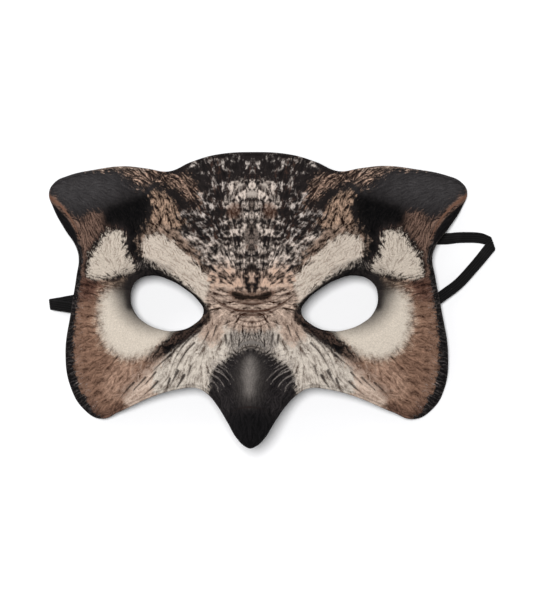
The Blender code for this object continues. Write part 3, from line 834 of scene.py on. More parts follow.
        (19, -40), (20.5, -34), (18, -29), (13, -25.5), (9, -21.5), (6, -16))),
    ("inner_brown", 2.4, 5.0, 0.8, "coarse", (0.16, 0.80), (76, 50, 37), (218, 188, 168), (
        (13, -2), (18, -2), (22.5, -6), (25.5, -12), (22.5, -17), (17.5, -17.5), (14, -13))),
    ("stripe", 1.0, 4.5, 1.0, "coarse", (0.46, 1.0), (9, 8, 9), (116, 93, 82), (
        (21, 2), (22, -4), (25.5, -7.5), (30, -10.6), (35, -11.2), (38.5, -13), (43.5, -17),
        (47, -20.4), (49, -23), (50, -25.6), (47, -25.4), (42, -22.2),
        (37, -18.5), (32, -15), (27, -12), (22.5, -8.5), (19.8, -3), (19.8, 1))),
    ("stripe_end", 2.0, 5.5, 0.3, "coarse", (0.25, 0.90), (56, 39, 32), (180, 152, 135), (
        (45, -21), (51, -24.5), (56, -29), (61, -35), (66, -41), (64, -43.5), (58, -38.5),
        (52, -33), (46, -27.5))),
    ("nose", 2.0, 3.0, 1.0, "coarse", (0.26, 0.80), (42, 22, 14), (232, 205, 186), (
        (-8, 7), (5, 7.5), (12, 9.5), (18, 9.5), (22, 5.5), (21.5, 1), (19, -3), (15, -6.5),
        (11, -10), (8, -12.5), (4, -12.5), (-8, -12.5))),
    ("slit_fringe", 1.0, 2.6, 0.8, "fine", (0.20, 0.80), (58, 38, 29), (150, 120, 104), (
        (-4, 7.0), (2, 6.8), (7, 7.4), (11.4, 7.2), (10, 4.4), (6, 2.4), (1, 2.2), (-4, 2.2))),
    ("slit", 0.4, 1.6, 0.95, "fine", (0.35, 1.00), (8, 6, 5), (48, 34, 28), (
        (-4, 5.5), (1.5, 5.3), (5.5, 6.2), (9.6, 6.3), (8.8, 4.6), (5.6, 3.2), (2, 3.5), (-4, 3.6))),
    ("beak_top", 1.8, 4.0, 0.9, "fine", (0.30, 0.78), (44, 38, 36), (196, 185, 175), (
        (-8, -11.5), (5, -12), (9, -11.5), (12, -15), (11, -20), (7, -22.5), (-8, -21))),
    ("beak", 1.0, 7.0, 1.0, "fine", (0.20, 0.98), (13, 12, 13), (64, 59, 60), (
        (-8, -19.9), (0, -20.1), (4, -21.5), (8, -24), (12, -27.3), (16, -31), (19.5, -35.5),
        (21, -39.5), (19.5, -44), (15, -52), (10, -62), (0, -73), (-8, -73))),
    ("bristles", 1.5, 3.0, 0.0, "bristle", (0.72, 0.98), (30, 28, 28), (150, 142, 136), (
        (4, -21.3), (8, -22), (13, -24.3), (18, -28), (21.5, -33.5), (22, -40.5), (17.5, -41.5),
        (14, -39), (11, -35.5), (9, -31.5), (7, -27.5))),
    # Painted highlight: this zone and the next lighten the beak along its ridge.
    ("beak_shine", 4.2, 0.5, 0.9, "fine", (0.05, 0.95), (52, 48, 47), (82, 77, 74), (
        (-6, -23.5), (2, -23.5), (5.4, -27), (6.8, -33), (6.0, -39), (3, -46), (-6, -48))),
    ("beak_glint", 3.2, 0.5, 0.8, "fine", (0.05, 0.95), (112, 106, 102), (152, 145, 140), (
        (-6, -24.5), (1.0, -24.5), (2.6, -29), (2.4, -35), (0.8, -41), (-6, -42))),
    ("beak_tip", 5.0, 0.5, 0.9, "fine", (0.30, 0.98), (10, 10, 11), (30, 28, 30), (
        (-8, -50), (8, -50), (13, -56), (8, -74), (-8, -74))),
)
PRINT_SHARE = 0.99


def print_spots(points):
    """Points of the print, from its own millimetres to metres on the mask."""
    return [(x * PRINT_SHARE / 1000, EYE_LINE + y / 1000) for x, y in points]


print(len(ZONES), "zones of the print")

# %% [markdown]
# ## The print: drawn strokes
# Some marks are single strokes: the creases over the bridge, the slit above them, dark feather
# shafts below the eyes, pale whiskers round the beak, the pale arch at its top and the brown edge
# of the ears. Each is a line with a width that tapers to its end. A point keeps how deep it lies
# inside the nearest stroke of each set.

# %% Strokes: half width in millimetres and the line from root to tip
STROKES = {
    "creases": (
        (0.45, (-4, 1.5), (3, 1.5), (9, 2.6), (15, 5.2), (20, 8.6)),
        (0.75, (-4, -1.9), (4, -2.0), (9, -1.0), (14, 1.2), (18, 4.0), (21, 6.2)),
        (0.50, (-4, -3.9), (4, -3.8), (8, -3.1), (12, -1.0), (16, 1.4)),
        (0.50, (-4, -6.9), (2, -7.1), (6, -6.0), (9, -4.0)),
        (0.40, (-4, -9.4), (2, -9.5), (6, -8.4), (8.5, -6.6)),
    ),
    "shafts": (
        (0.60, (25, -11), (30, -15), (34.5, -20), (37.5, -25), (39.5, -30)),
        (0.55, (30, -13.5), (36, -19), (41, -24.5), (44.5, -29.5)),
        (0.50, (28, -17), (32.5, -22), (35.5, -27), (38, -32.5)),
        (0.80, (33, -32.5), (34.8, -35.5), (37, -39)),
        (0.70, (36, -30.5), (38, -34), (40, -38)),
        (0.60, (40, -34), (41.2, -37.5), (42, -41)),
        (0.60, (46, -35.5), (50, -39.5), (54, -42.5)),
        (0.60, (52, -33.5), (55, -36.5), (58.5, -40)),
        (0.50, (38, -21.5), (44, -26.5), (49.5, -31.5)),
        (0.55, (12.8, -13.5), (12.4, -16.5), (12.6, -18.5)),
        (0.45, (9.8, -13.5), (9.6, -16.5), (8.8, -19)),
        (0.45, (17, -9), (18.4, -13), (20, -17)),
        (0.40, (21, -12), (23, -16), (25.5, -20)),
        (0.40, (29.5, -28), (31, -32), (32, -36)),
        (0.45, (47, -31), (51, -35.5), (56, -39.5)),
        (0.50, (58, -36), (62, -40), (66, -44.5)),
        (0.45, (-4, -18.9), (1.5, -18.9), (5, -20.2), (8, -23)),
        (0.40, (-4, -47.4), (2, -47.4), (6, -48.2), (9, -49.6)),
    ),
    "whiskers": (
        (0.30, (19.5, -27), (14.5, -28.6), (10.5, -31.6), (7.5, -35.2)),
        (0.26, (20, -29.6), (15.6, -31), (12, -33.6), (9.6, -36.6)),
        (0.26, (20, -32.2), (17, -33.4), (14.4, -35.4), (12.8, -38)),
        (0.24, (20.5, -35), (18.4, -36), (16.8, -37.6), (15.8, -40)),
        (0.26, (15.5, -22.8), (12.4, -23.8), (9.8, -25.4)),
        (0.26, (16.5, -25), (12.6, -26.2), (9.2, -28.4)),
        (0.24, (18.4, -25.8), (14, -27.2), (11, -29.4)),
        (0.22, (19.8, -28.4), (16.6, -29.4), (13.4, -31.4), (11.4, -34)),
        (0.22, (21, -33.8), (19.2, -34.8), (17.6, -36.6)),
        (0.24, (12, -18.6), (9.4, -20.4), (6.8, -23)),
        (0.22, (8.6, -16.6), (7.2, -18.8), (5.2, -21.4)),
        (0.24, (14, -20.6), (11, -22), (8, -24.4)),
    ),
    "arch": ((1.10, (-4, -17.0), (1.5, -17.0), (4.8, -18.0), (7.4, -20.4)),),
    "ear_line": ((0.85, (103, 54), (99, 51.2), (95.4, 48.5), (91.5, 44.6), (88.6, 40.6),
                  (86.4, 36.6), (84.8, 32.8)),),
}
print(sum(len(rows) for rows in STROKES.values()), "single strokes")


# %% [markdown]
# ## The print: lie of the hairs
# Hairs run out from the bridge of the nose like rays, turn along the brows and lie along the ear
# tufts. A few guide hairs say where they point; every other point takes the mean of the guides,
# the nearer ones counting more.

# %% Guide hairs: where each is, and the way it points in degrees
GUIDES = (
    (62, 60, 28), (80, 58, 10), (95, 57, 0), (72, 66, 12), (92, 46, 48), (79, 38, 62),
    (35, 58, 35), (50, 61, 33), (60, 66, 20), (3, 68, 92), (22, 68, 70), (5, 50, 92),
    (5, 28, 92), (3, 12, 92), (15, 42, 65), (25, 38, 42), (32, 32, 42), (18, 25, 50),
    (42, 46, 78), (36, 24, 38), (48, 29, 42), (25, 12, 48), (61, 28, 138), (68, 32, 85),
    (76, 26, 48), (76, 16, 18), (60, 18, 150), (57, 28, 110), (84, 24, 88), (66, 11, 5),
    (81, 5, 8), (83, -10, -6), (83, -25, -16), (81, -38, -32), (75, -48, -46), (65, -38, -48),
    (59, -28, -58), (70, 0, 0), (66, -15, -42), (52, -18, -58), (43, -18, -46), (30, -12, -42),
    (30, -22, -54), (38, -30, -60), (25, -34, -76), (14, -20, -72), (45, -38, -52),
    (56, -43, -36), (10, -8, -62), (3, -16, -88), (18, -6, -66), (4, 2, 4), (14, 3, 22),
    (13, -28, -152), (17, -34, -142), (8, -24, -150), (19, -39, -128), (9, -38, -100),
    (8, -48, -95), (3, -60, -92),
)
GUIDE_BLEND = 0.003
STROKE_STEPS = 6
STROKE_END = 0.25
STROKE_FAR_OUT = -9.0


def hair_way(x, y):
    """The way the hairs point at each spot, as a level vector of length 1."""
    at = np.array(print_spots([guide[:2] for guide in GUIDES]))
    turn = np.radians([guide[2] for guide in GUIDES])
    apart = (x[:, None] - at[:, 0]) ** 2 + (y[:, None] - at[:, 1]) ** 2
    near = 1 / (apart + GUIDE_BLEND ** 2) ** 1.5
    way = np.stack([near @ np.cos(turn), near @ np.sin(turn), np.zeros_like(x)], axis=1)
    return way / np.linalg.norm(way, axis=1)[:, None]


def stroke_depth(x, y, strokes):
    """How deep each spot lies inside the nearest of several tapering strokes, in millimetres."""
    deepest = np.full(x.shape, STROKE_FAR_OUT)
    for half_width, *points in strokes:
        line = smooth_line(print_spots(points), STROKE_STEPS, closed=False)
        shares = np.linspace(1, STROKE_END, len(line) - 1)
        for share, (_, gap) in zip(shares, stretches(x, y, line)):
            deepest = np.maximum(deepest, half_width * share - np.sqrt(gap) * 1000)
    return deepest


def keep(mesh, name, values):
    """Keep a number, or a direction, on each point of a mesh."""
    flat = values.ndim == 1
    kept = mesh.attributes.new(name, "FLOAT" if flat else "FLOAT_VECTOR", "POINT")
    kept.data.foreach_set("value" if flat else "vector", values.astype(np.float32).ravel())


# %% Keep the zones, strokes and lie of the hairs on the cloth
ZONE_LINES_AT = 8
ZONE_STEPS = 5
ZONE_REACH = 15

cloth_spots = np.array([vert.co[:2] for vert in cloth.data.vertices])
across, upward = np.abs(cloth_spots[:, 0]), cloth_spots[:, 1]
for zone in ZONES:
    lines = [smooth_line(print_spots(line), ZONE_STEPS) for line in zone[ZONE_LINES_AT:]]
    depth = np.max([depth_within(across, upward, line) for line in lines], axis=0) * 1000
    keep(cloth.data, zone[0], np.clip(depth, -ZONE_REACH, ZONE_REACH))
for name, strokes in STROKES.items():
    keep(cloth.data, name, stroke_depth(across, upward, strokes))
keep(cloth.data, "hair_way", hair_way(across, upward))
keep(cloth.data, "rim_depth", line_gap(across, upward, outline) * 1000)
print("cloth keeps", len(cloth.data.attributes), "attributes")

# %% [markdown]
# ## Shader helpers
# Materials are trees of small nodes. These helpers add a node, feed each of its inputs with a
# number, a colour or another node's output, and give back the output, so that a tree reads like
# a sum.

# %% Helpers that build node trees
def srgb(red, green, blue):
    """A colour as a screen shows it, turned into the linear light that shaders reckon in."""
    shares = np.array([red, green, blue]) / 255
    linear = np.where(shares <= 0.04045, shares / 12.92, ((shares + 0.055) / 1.055) ** 2.4)
    return (*linear.tolist(), 1.0)


def feed(tree, socket, value):
    """Link an output to a socket, or set the socket to a plain value."""
    if isinstance(value, bpy.types.NodeSocket):
        tree.links.new(value, socket)
    elif value is not None:
        socket.default_value = value


def math_step(tree, operation, *values, clamp=False):
    node = tree.nodes.new("ShaderNodeMath")
    node.operation = operation
    node.use_clamp = clamp
    for socket, value in zip(node.inputs, values):
        feed(tree, socket, value)
    return node.outputs[0]


def vector_step(tree, operation, *values, scale=None):
    node = tree.nodes.new("ShaderNodeVectorMath")
    node.operation = operation
    for socket, value in zip(node.inputs, values):
        feed(tree, socket, value)
    if operation == "SCALE":
        feed(tree, node.inputs["Scale"], scale)
    return node.outputs["Value" if operation in ("LENGTH", "DOT_PRODUCT") else "Vector"]


def spread(tree, value, low, high, to_low=0.0, to_high=1.0, even=False):
    """Map a value from one range to another, evenly or with a smooth start and end."""
    node = tree.nodes.new("ShaderNodeMapRange")
    node.interpolation_type = "LINEAR" if even else "SMOOTHSTEP"
    for socket, given in zip(node.inputs, (value, low, high, to_low, to_high)):
        feed(tree, socket, given)
    return node.outputs["Result"]


def mix_ink(tree, factor, first, second, blend="MIX"):
    node = tree.nodes.new("ShaderNodeMix")
    node.data_type = "RGBA"
    node.blend_type = blend
    feed(tree, node.inputs[0], factor)
    feed(tree, node.inputs[6], first)
    feed(tree, node.inputs[7], second)
    return node.outputs[2]


def noise(tree, vector, scale, detail=1.0, roughness=0.5, flat=False):
    node = tree.nodes.new("ShaderNodeTexNoise")
    node.noise_dimensions = "2D" if flat else "3D"
    feed(tree, node.inputs["Vector"], vector)
    feed(tree, node.inputs["Scale"], scale)
    feed(tree, node.inputs["Detail"], detail)
    feed(tree, node.inputs["Roughness"], roughness)
    return node.outputs["Fac"]


def attribute(tree, name, output="Fac"):
    node = tree.nodes.new("ShaderNodeAttribute")
    node.attribute_name = name
    return node.outputs[output]


def split(tree, vector):
    """The x, y and z of a vector."""
    node = tree.nodes.new("ShaderNodeSeparateXYZ")
    feed(tree, node.inputs[0], vector)
    return node.outputs


def new_group(name, inputs, outputs):
    """An empty node group with named sockets: inputs as (type, name, value)."""
    tree = bpy.data.node_groups.new(name, "ShaderNodeTree")
    for kind, label, value in inputs:
        socket = tree.interface.new_socket(label, in_out="INPUT", socket_type="NodeSocket" + kind)
        socket.default_value = value
    for kind, label in outputs:
        tree.interface.new_socket(label, in_out="OUTPUT", socket_type="NodeSocket" + kind)
    return tree, tree.nodes.new("NodeGroupInput").outputs, tree.nodes.new("NodeGroupOutput").inputs


def use_group(tree, group, **values):
    """Place a group; a value's name is its socket's name with _ for spaces."""
    node = tree.nodes.new("ShaderNodeGroup")
    node.node_tree = group
    for name, value in values.items():
        feed(tree, node.inputs[name.replace("_", " ").capitalize()], value)
    return node.outputs


def new_material(name):
    """A material with its tree, its shader's inputs and the spot in metres on the piece."""
    made = bpy.data.materials.new(name)
    made.use_nodes = True
    tree = made.node_tree
    spot = tree.nodes.new("ShaderNodeTexCoord").outputs["Object"]
    return made, tree, tree.nodes["Principled BSDF"].inputs, spot


def dress(made, material):
    """Give a piece its material."""
    made.data.materials.append(material)
    print(made.name, "is in", material.name, "with", len(material.node_tree.nodes), "nodes")


# %% Grains of each noise in a metre, and the finish of each material
GRAINS = {
    "ruffle": 300.0, "wander": 420.0, "clumps": 230.0, "yarn": 1500.0, "wear": 75.0,
    "lint": 1900.0, "cells": 2400.0, "ripple": 160.0, "glint": 1300.0, "swirl": 500.0,
    "tufts": 900.0, "fluff": 2200.0, "mottling": 45.0,
}
# Each finish: roughness from and to, sheen, its roughness, gloss, bump strength and bump depth.
FINISHES = {
    "printed knit": (0.70, 0.86, 0.01, 0.3, 0.04, 0.35, 0.00006),
    "pressed foam": (0.72, 0.92, 0.00, 0.5, 0.15, 0.50, 0.00012),
    "ribbed knit": (0.50, 0.72, 0.05, 0.4, 0.22, 0.70, 0.00016),
    "felt": (0.86, 0.98, 0.08, 0.6, 0.06, 0.90, 0.00045),
    "braided elastic": (0.62, 0.80, 0.01, 0.5, 0.08, 0.60, 0.00012),
    "pale table": (0.62, 0.72, 0.00, 0.5, 0.20, 0.00, 0.00000),
}
GRAIN_RANGE = (0.3, 0.7)


def set_finish(tree, shader, name, ink, grain, relief=0.0):
    """Set a material's colour, gloss and bump; its grain makes it smoother or rougher."""
    smooth, rough, sheen, sheen_roughness, gloss, strength, depth = FINISHES[name]
    feed(tree, shader["Base Color"], ink)
    feed(tree, shader["Roughness"], spread(tree, grain, *GRAIN_RANGE, smooth, rough))
    feed(tree, shader["Sheen Weight"], sheen)
    feed(tree, shader["Sheen Roughness"], sheen_roughness)
    feed(tree, shader["Specular IOR Level"], gloss)
    if depth:
        bump = tree.nodes.new("ShaderNodeBump")
        feed(tree, bump.inputs["Strength"], strength)
        feed(tree, bump.inputs["Distance"], depth)
        feed(tree, bump.inputs["Height"], relief)
        feed(tree, shader["Normal"], bump.outputs["Normal"])


print(len(FINISHES), "finishes")

# %% [markdown]
# ## Hair strokes
# Hair is noise smeared along the way the hairs lie: the same fine noise is read at several steps
# before and behind the point, and the mean keeps only what runs along that way. One group makes
# fine hairs, coarse feathers or short mottling, by its grain and its reach.

# %% Groups: hair strokes and one zone of plumage
SMEAR_STEPS = 8
STROKE_JAG = 0.7
WANDER_JAG = 1.5


def hair_strokes_group():
    tree, given, result = new_group("hair strokes", (
        ("Vector", "Spot", (0, 0, 0)), ("Vector", "Way", (1, 0, 0)),
        ("Float", "Grain", 0.0005), ("Float", "Reach", 0.004), ("Float", "Contrast", 0.12),
        ("Float", "Detail", 2.0), ("Float", "Roughness", 0.6),
    ), (("Float", "Strokes"),))
    density = math_step(tree, "DIVIDE", 1.0, given["Grain"])
    total = None
    for step in range(SMEAR_STEPS):
        share = step / (SMEAR_STEPS - 1) - 0.5
        ahead = math_step(tree, "MULTIPLY", given["Reach"], share)
        moved = vector_step(tree, "SCALE", given["Way"], scale=ahead)
        at = vector_step(tree, "ADD", given["Spot"], moved)
        scaled = vector_step(tree, "SCALE", at, scale=density)
        value = noise(tree, scaled, 1.0, given["Detail"], given["Roughness"], flat=True)
        total = value if total is None else math_step(tree, "ADD", total, value)
    mean = math_step(tree, "DIVIDE", total, float(SMEAR_STEPS))
    low = math_step(tree, "SUBTRACT", 0.5, given["Contrast"])
    high = math_step(tree, "ADD", 0.5, given["Contrast"])
    feed(tree, result["Strokes"], spread(tree, mean, low, high))
    return tree


def plumage_zone_group():
    tree, given, result = new_group("plumage zone", (
        ("Color", "Under", (0, 0, 0, 1)), ("Float", "Depth", 0.0), ("Float", "Strokes", 0.5),
        ("Float", "Wander", 0.5),
        ("Color", "Shade ink", (0, 0, 0, 1)), ("Color", "Hair ink", (1, 1, 1, 1)),
        ("Float", "Softness", 1.0), ("Float", "Raggedness", 1.0), ("Float", "Cover", 1.0),
        ("Float", "Hair from", 0.2), ("Float", "Hair to", 0.8),
    ), (("Color", "Ink"),))
    combed = math_step(tree, "MULTIPLY_ADD", given["Strokes"], STROKE_JAG, -STROKE_JAG / 2)
    wander = math_step(tree, "SUBTRACT", given["Wander"], 0.5)
    jag = math_step(tree, "MULTIPLY_ADD", wander, WANDER_JAG, combed)
    depth = math_step(tree, "MULTIPLY_ADD", jag, given["Raggedness"], given["Depth"])
    outer = math_step(tree, "MULTIPLY", given["Softness"], -1.0)
    inside = spread(tree, depth, outer, given["Softness"])
    hairs = spread(tree, given["Strokes"], given["Hair from"], given["Hair to"], even=True)
    covered = math_step(tree, "MULTIPLY", inside, math_step(tree, "MAXIMUM", given["Cover"], hairs))
    ink = mix_ink(tree, hairs, given["Shade ink"], given["Hair ink"])
    feed(tree, result["Ink"], mix_ink(tree, covered, given["Under"], ink))
    return tree


hair_strokes = hair_strokes_group()
plumage_zone = plumage_zone_group()
print("groups:", hair_strokes.name, "and", plumage_zone.name)

# %% [markdown]
# ## Printed knit
# The zones are laid one over another in the table's order, then the single strokes. The print is
# mirrored by reading every pattern at the distance from the middle plane. Over it lies the fine
# grain of the knit: rows of loops a third of a millimetre apart in the bump, with a little painted
# shade between the loops in the colour, and a soft sheen as on any brushed polyester.

# %% Material: printed knit
# Each kind: grain and reach in metres, contrast, detail, roughness, share of fine hairs, clumping.
STROKE_KINDS = {
    "fine": (0.00080, 0.0032, 0.19, 3.0, 0.62, 0.0, 0.45),
    "coarse": (0.00170, 0.0048, 0.18, 3.0, 0.62, 0.45, 0.45),
    "short": (0.00135, 0.0034, 0.17, 4.0, 0.68, 0.35, 0.35),
    "mottle": (0.00150, 0.0013, 0.24, 5.0, 0.78, 0.35, 1.30),
    "bristle": (0.00090, 0.0060, 0.14, 2.0, 0.60, 0.0, 0.45),
}
INK_STRENGTH = 0.78
RUFFLE_TURN = 1.3
KNIT_PITCH = 0.00035
STROKE_COVER = 0.88
STROKE_EDGE = (0.10, 0.75)
RIM_RAGGEDNESS = 1.2
GROOVE_IN = 0.9
GROOVE_HALF_WIDTH = 0.7
GROOVE_SHADE = 0.72
RUBBED_EDGE = (-0.7, 0.1)
RUBBED_SHARE = 0.5
LOOP_SHADE_SHARE = 0.08
YARN_RANGE = (0.2, 0.85)
YARN_SHADES = (0.78, 1.18)


def ink_of(red, green, blue):
    """An ink, as dark as it must be for the given colour to show under the studio light."""
    colour = srgb(red, green, blue)
    return (*(share * INK_STRENGTH for share in colour[:3]), 1.0)


STROKE_INKS = {
    "creases": (70, 43, 32), "shafts": (40, 30, 28), "whiskers": (160, 151, 145),
    "arch": (138, 132, 127), "ear_line": (128, 93, 76),
}


def knit_loops(tree, spot):
    """Rows of small loops, as a height over the surface."""
    x, y, _ = split(tree, vector_step(tree, "SCALE", spot, scale=2 * math.pi / KNIT_PITCH))
    wave = math_step(tree, "SINE", x)
    lean = math_step(tree, "MULTIPLY_ADD", wave, 0.9, y)
    return math_step(tree, "MULTIPLY_ADD", wave, 0.5, math_step(tree, "SINE", lean))


def mirrored(tree, spot):
    """The same spot on the right half, so that both halves carry one print."""
    x, y, _ = split(tree, spot)
    node = tree.nodes.new("ShaderNodeCombineXYZ")
    feed(tree, node.inputs["X"], math_step(tree, "ABSOLUTE", x))
    feed(tree, node.inputs["Y"], y)
    return node.outputs[0]


def all_strokes(tree, spot):
    """Each kind of stroke at a spot of the print, from 0 between the hairs to 1 on them."""
    ruffle = noise(tree, spot, GRAINS["ruffle"], 2.0, flat=True)
    turned = tree.nodes.new("ShaderNodeVectorRotate")
    turned.rotation_type = "Z_AXIS"
    turn = math_step(tree, "MULTIPLY_ADD", ruffle, 2 * RUFFLE_TURN, -RUFFLE_TURN)
    feed(tree, turned.inputs["Vector"], attribute(tree, "hair_way", "Vector"))
    feed(tree, turned.inputs["Angle"], turn)
    clumps = noise(tree, spot, GRAINS["clumps"], 3.0, 0.6, flat=True)
    clumps = math_step(tree, "SUBTRACT", clumps, 0.5)
    strokes = {}
    for kind, (grain, reach, contrast, detail, roughness, fine_share, clump) in STROKE_KINDS.items():
        combed = use_group(
            tree, hair_strokes, spot=spot, way=turned.outputs["Vector"], grain=grain,
            reach=reach, contrast=contrast, detail=detail, roughness=roughness)["Strokes"]
        if fine_share:
            both = math_step(tree, "MULTIPLY", combed, 1 - fine_share)
            combed = math_step(tree, "MULTIPLY_ADD", strokes["fine"], fine_share, both)
        strokes[kind] = math_step(tree, "MULTIPLY_ADD", clumps, clump, combed, clamp=True)
    return strokes


def rim_groove_shade_and_wear(tree, ink, wander):
    """Paint the shade of the groove that the die leaves along the rim, and rub the cut edge paler.
    """
    rim_depth = attribute(tree, "rim_depth")
    depth = math_step(tree, "MULTIPLY_ADD", wander, -RIM_RAGGEDNESS, rim_depth)
    groove = math_step(tree, "ABSOLUTE", math_step(tree, "SUBTRACT", depth, GROOVE_IN))
    # Painted shade along the die's groove, a little in from the cut edge.
    shade = spread(tree, groove, 0.0, GROOVE_HALF_WIDTH, GROOVE_SHADE, 1.0)
    ink = mix_ink(tree, 1.0, ink, shade, blend="MULTIPLY")
    rubbed = spread(tree, depth, *RUBBED_EDGE, RUBBED_SHARE, 0.0)
    return mix_ink(tree, rubbed, ink, ink_of(92, 86, 82))


def printed_knit():
    made, tree, shader, spot = new_material("printed knit")
    print_spot = mirrored(tree, spot)
    strokes = all_strokes(tree, print_spot)
    wander = noise(tree, print_spot, GRAINS["wander"], 4.0, 0.65, flat=True)
    ink = mix_ink(tree, strokes["coarse"], ink_of(15, 13, 14), ink_of(50, 44, 43))
    for name, softness, ragged, cover, kind, (low, high), shade, hair, *_ in ZONES:
        ink = use_group(
            tree, plumage_zone, under=ink, depth=attribute(tree, name), strokes=strokes[kind],
            wander=wander, shade_ink=ink_of(*shade), hair_ink=ink_of(*hair), softness=softness,
            raggedness=ragged, cover=cover, hair_from=low, hair_to=high)["Ink"]
    for name, colour in STROKE_INKS.items():
        jag = math_step(tree, "MULTIPLY_ADD", strokes["fine"], 0.8, attribute(tree, name))
        inside = math_step(tree, "MULTIPLY", spread(tree, jag, *STROKE_EDGE), STROKE_COVER)
        ink = mix_ink(tree, inside, ink, ink_of(*colour))
    ink = rim_groove_shade_and_wear(tree, ink, wander)
    loops = knit_loops(tree, spot)
    yarn = noise(tree, spot, GRAINS["yarn"], 3.0, 0.65)
    # The loops also darken the colour a little between them: painted shade of the knit's relief.
    grain = math_step(tree, "MULTIPLY_ADD", loops, LOOP_SHADE_SHARE, yarn)
    grain = spread(tree, grain, *YARN_RANGE, *YARN_SHADES)
    ink = mix_ink(tree, 1.0, ink, grain, blend="MULTIPLY")
    set_finish(tree, shader, "printed knit", ink, yarn, loops)
    return made


dress(cloth, printed_knit())

# %% [markdown]
# ## The other materials
# The foam shows as a narrow dark band, grey-brown where it is cut and black behind, where the
# lining's die has pressed it. The lining is knitted in ribs, with a painted highlight on the small
# loops on the crown of each. The felt is a mat of fibres that lie every way. The elastic is braided
# in a herringbone over its lengthwise cords, with a painted highlight on the crown of each cord.
# Black cloth picks up lint and rubs paler with use, so one group adds both to each of them.

# %% Group: wear and lint
def wear_and_lint_group():
    tree, given, result = new_group("wear and lint", (
        ("Vector", "Spot", (0, 0, 0)), ("Color", "Ink", (0, 0, 0, 1)),
        ("Float", "Wear", 0.3), ("Float", "Lint", 0.3),
    ), (("Color", "Ink"),))
    patchy = noise(tree, given["Spot"], GRAINS["wear"], 4.0, 0.6)
    rubbed = math_step(tree, "MULTIPLY", spread(tree, patchy, 0.46, 0.72), given["Wear"])
    ink = mix_ink(tree, rubbed, given["Ink"], srgb(74, 71, 72))
    specks = spread(tree, noise(tree, given["Spot"], GRAINS["lint"], 1.0), 0.74, 0.79)
    lint = math_step(tree, "MULTIPLY", specks, given["Lint"])
    feed(tree, result["Ink"], mix_ink(tree, lint, ink, srgb(160, 155, 150)))
    return tree


wear_and_lint = wear_and_lint_group()
print("group:", wear_and_lint.name)


# %% Material: pressed foam
def pressed_foam():
    made, tree, shader, spot = new_material("pressed foam")
    cells = noise(tree, spot, GRAINS["cells"], 2.0, 0.7)
    cut = mix_ink(tree, cells, srgb(34, 31, 30), srgb(92, 84, 79))
    ink = mix_ink(tree, attribute(tree, "turned_back"), cut, srgb(21, 20, 21))
    ink = use_group(tree, wear_and_lint, spot=spot, ink=ink, wear=0.12, lint=0.15)["Ink"]
    set_finish(tree, shader, "pressed foam", ink, cells, cells)
    return made


facing = np.array([vert.normal.z for vert in core.data.vertices])
keep(core.data, "turned_back", np.clip(0.3 - 2 * facing, 0, 1))
dress(core, pressed_foam())


# %% Material: ribbed knit
LINING_LOOP = 0.00085
LOOP_SLANT = 2.2
LOOP_WANDER = 5.0


def ribbed_knit():
    made, tree, shader, spot = new_material("ribbed knit")
    x, y, _ = split(tree, spot)
    ripple = noise(tree, spot, GRAINS["ripple"], 2.0)
    rib_turn = math_step(tree, "MULTIPLY", y, math.pi / RIB_PITCH)
    crown = math_step(tree, "ABSOLUTE", math_step(tree, "SINE", rib_turn))
    loop_turn = math_step(tree, "MULTIPLY", x, 2 * math.pi / LINING_LOOP)
    slanted = math_step(tree, "MULTIPLY_ADD", crown, LOOP_SLANT, loop_turn)
    slanted = math_step(tree, "MULTIPLY_ADD", ripple, LOOP_WANDER, slanted)
    loops = math_step(tree, "MULTIPLY_ADD", math_step(tree, "SINE", slanted), 0.5, 0.5)
    glint = noise(tree, spot, GRAINS["glint"], 2.0, 0.7)
    # Painted highlight: the loops on the crown of each rib are lighter.
    lit = math_step(tree, "MULTIPLY", math_step(tree, "MULTIPLY", crown, loops), glint)
    ink = mix_ink(tree, spread(tree, lit, 0.10, 0.62), srgb(12, 12, 13), srgb(62, 59, 60))
    ink = use_group(tree, wear_and_lint, spot=spot, ink=ink, wear=0.16, lint=0.4)["Ink"]
    stitch = math_step(tree, "MULTIPLY_ADD", loops, 0.8, glint)
    relief = math_step(tree, "MULTIPLY", stitch, crown)
    set_finish(tree, shader, "ribbed knit", ink, glint, relief)
    return made


dress(lining, ribbed_knit())


# %% Material: felt
FIBRE_STRETCH = (2600.0, 700.0, 2600.0)


def matted_felt():
    made, tree, shader, spot = new_material("felt")
    swirl = noise(tree, spot, GRAINS["swirl"], 2.0)
    stretched = vector_step(tree, "MULTIPLY", spot, FIBRE_STRETCH)
    twist = vector_step(tree, "SCALE", (1.0, 1.0, 0.0), scale=swirl)
    fibres = noise(tree, vector_step(tree, "ADD", stretched, twist), 1.0, 4.0, 0.7)
    tufts = noise(tree, spot, GRAINS["tufts"], 3.0, 0.6)
    mat = math_step(tree, "MULTIPLY_ADD", tufts, 0.6, math_step(tree, "MULTIPLY", fibres, 0.5))
    ink = mix_ink(tree, spread(tree, mat, 0.38, 0.70), srgb(14, 14, 15), srgb(50, 48, 49))
    ink = use_group(tree, wear_and_lint, spot=spot, ink=ink, wear=0.10, lint=0.6)["Ink"]
    set_finish(tree, shader, "felt", ink, mat, mat)
    return made


for patch in patches:
    dress(patch, matted_felt())


# %% Material: braided elastic
BRAID_PITCH = 0.0009
PLAIT_SLANT = 2.4


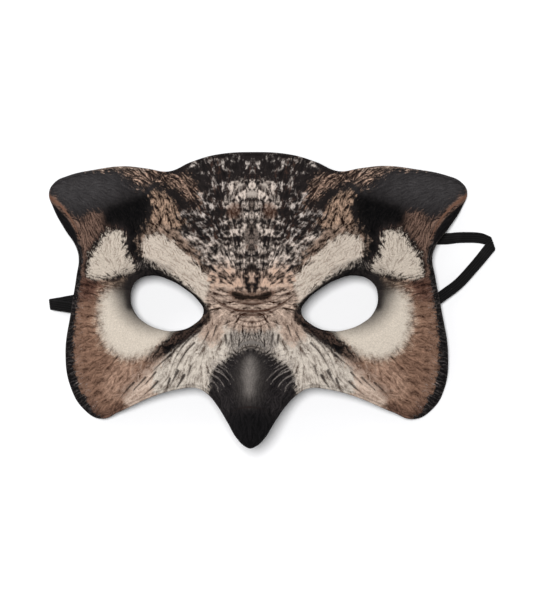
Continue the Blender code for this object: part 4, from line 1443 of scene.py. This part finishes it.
def braided_elastic():
    made, tree, shader, spot = new_material("braided elastic")
    cord_turn = math_step(tree, "MULTIPLY", attribute(tree, "across"), math.pi * STRAP_CORDS / 2)
    crown = math_step(tree, "ABSOLUTE", math_step(tree, "COSINE", cord_turn))
    braid_turn = math_step(tree, "MULTIPLY", attribute(tree, "along"), 2 * math.pi / BRAID_PITCH)
    slant = math_step(tree, "MULTIPLY", math_step(tree, "SINE", cord_turn), PLAIT_SLANT)
    plaits = math_step(tree, "SINE", math_step(tree, "ADD", braid_turn, slant))
    plaits = math_step(tree, "MULTIPLY_ADD", plaits, 0.5, 0.5)
    fluff = noise(tree, spot, GRAINS["fluff"], 2.0, 0.6)
    # Painted highlight: the crown of each cord and the top of each plait are lighter.
    lit = math_step(tree, "MULTIPLY", crown, math_step(tree, "MULTIPLY_ADD", plaits, 0.6, 0.4))
    lit = math_step(tree, "MULTIPLY", lit, math_step(tree, "MULTIPLY_ADD", fluff, 0.8, 0.6))
    ink = mix_ink(tree, lit, srgb(4, 4, 4), srgb(24, 23, 23))
    ink = use_group(tree, wear_and_lint, spot=spot, ink=ink, wear=0.06, lint=0.20)["Ink"]
    relief = math_step(tree, "MULTIPLY", plaits, crown)
    set_finish(tree, shader, "braided elastic", ink, fluff, relief)
    return made


dress(strap, braided_elastic())


# %% Material: pale table
def pale_table():
    made, tree, shader, spot = new_material("pale table")
    mottled = noise(tree, spot, GRAINS["mottling"], 4.0)
    ink = mix_ink(tree, mottled, srgb(243, 243, 244), srgb(246, 246, 247))
    set_finish(tree, shader, "pale table", ink, mottled)
    return made


# %% [markdown]
# ## Table and light
# The mask lies on a plain pale table under soft studio light from above.

# %% Table and lights
TABLE_HALF_SIZE = 3
KEY_POWER = 2.9
KEY_BLUR = math.radians(12)
KEY_LEAN = Vector((-0.05, 0.06, 0))
SOFTBOX_PLACE = Vector((-1.0, 0.9, 1.1))
SOFTBOX_SIZE = 0.8
SOFTBOX_POWER = 6
ROOM_LIGHT = 0.22

work = bmesh.new()
bmesh.ops.create_grid(work, x_segments=1, y_segments=1, size=TABLE_HALF_SIZE)
table = piece("table", work)
dress(table, pale_table())


def hang_light(name, kind, way, power):
    """A light of one kind that shines the given way."""
    light = bpy.data.lights.new(name, kind)
    light.energy = power
    lamp = bpy.data.objects.new(name, light)
    lamp.rotation_euler = way.to_track_quat("-Z", "Y").to_euler()
    bpy.context.scene.collection.objects.link(lamp)
    return lamp


key = hang_light("key", "SUN", -(sight + KEY_LEAN), KEY_POWER)
key.data.angle = KEY_BLUR
softbox = hang_light("side softbox", "AREA", aim - SOFTBOX_PLACE, SOFTBOX_POWER)
softbox.location = SOFTBOX_PLACE
softbox.data.shape = "DISK"
softbox.data.size = SOFTBOX_SIZE
world = bpy.data.worlds.new("studio")
world.use_nodes = True
background = world.node_tree.nodes["Background"].inputs
background["Color"].default_value = (1, 1, 1, 1)
background["Strength"].default_value = ROOM_LIGHT
bpy.context.scene.world = world
bpy.context.scene.view_settings.view_transform = "Standard"
print("lights:", key.name, "and", softbox.name)
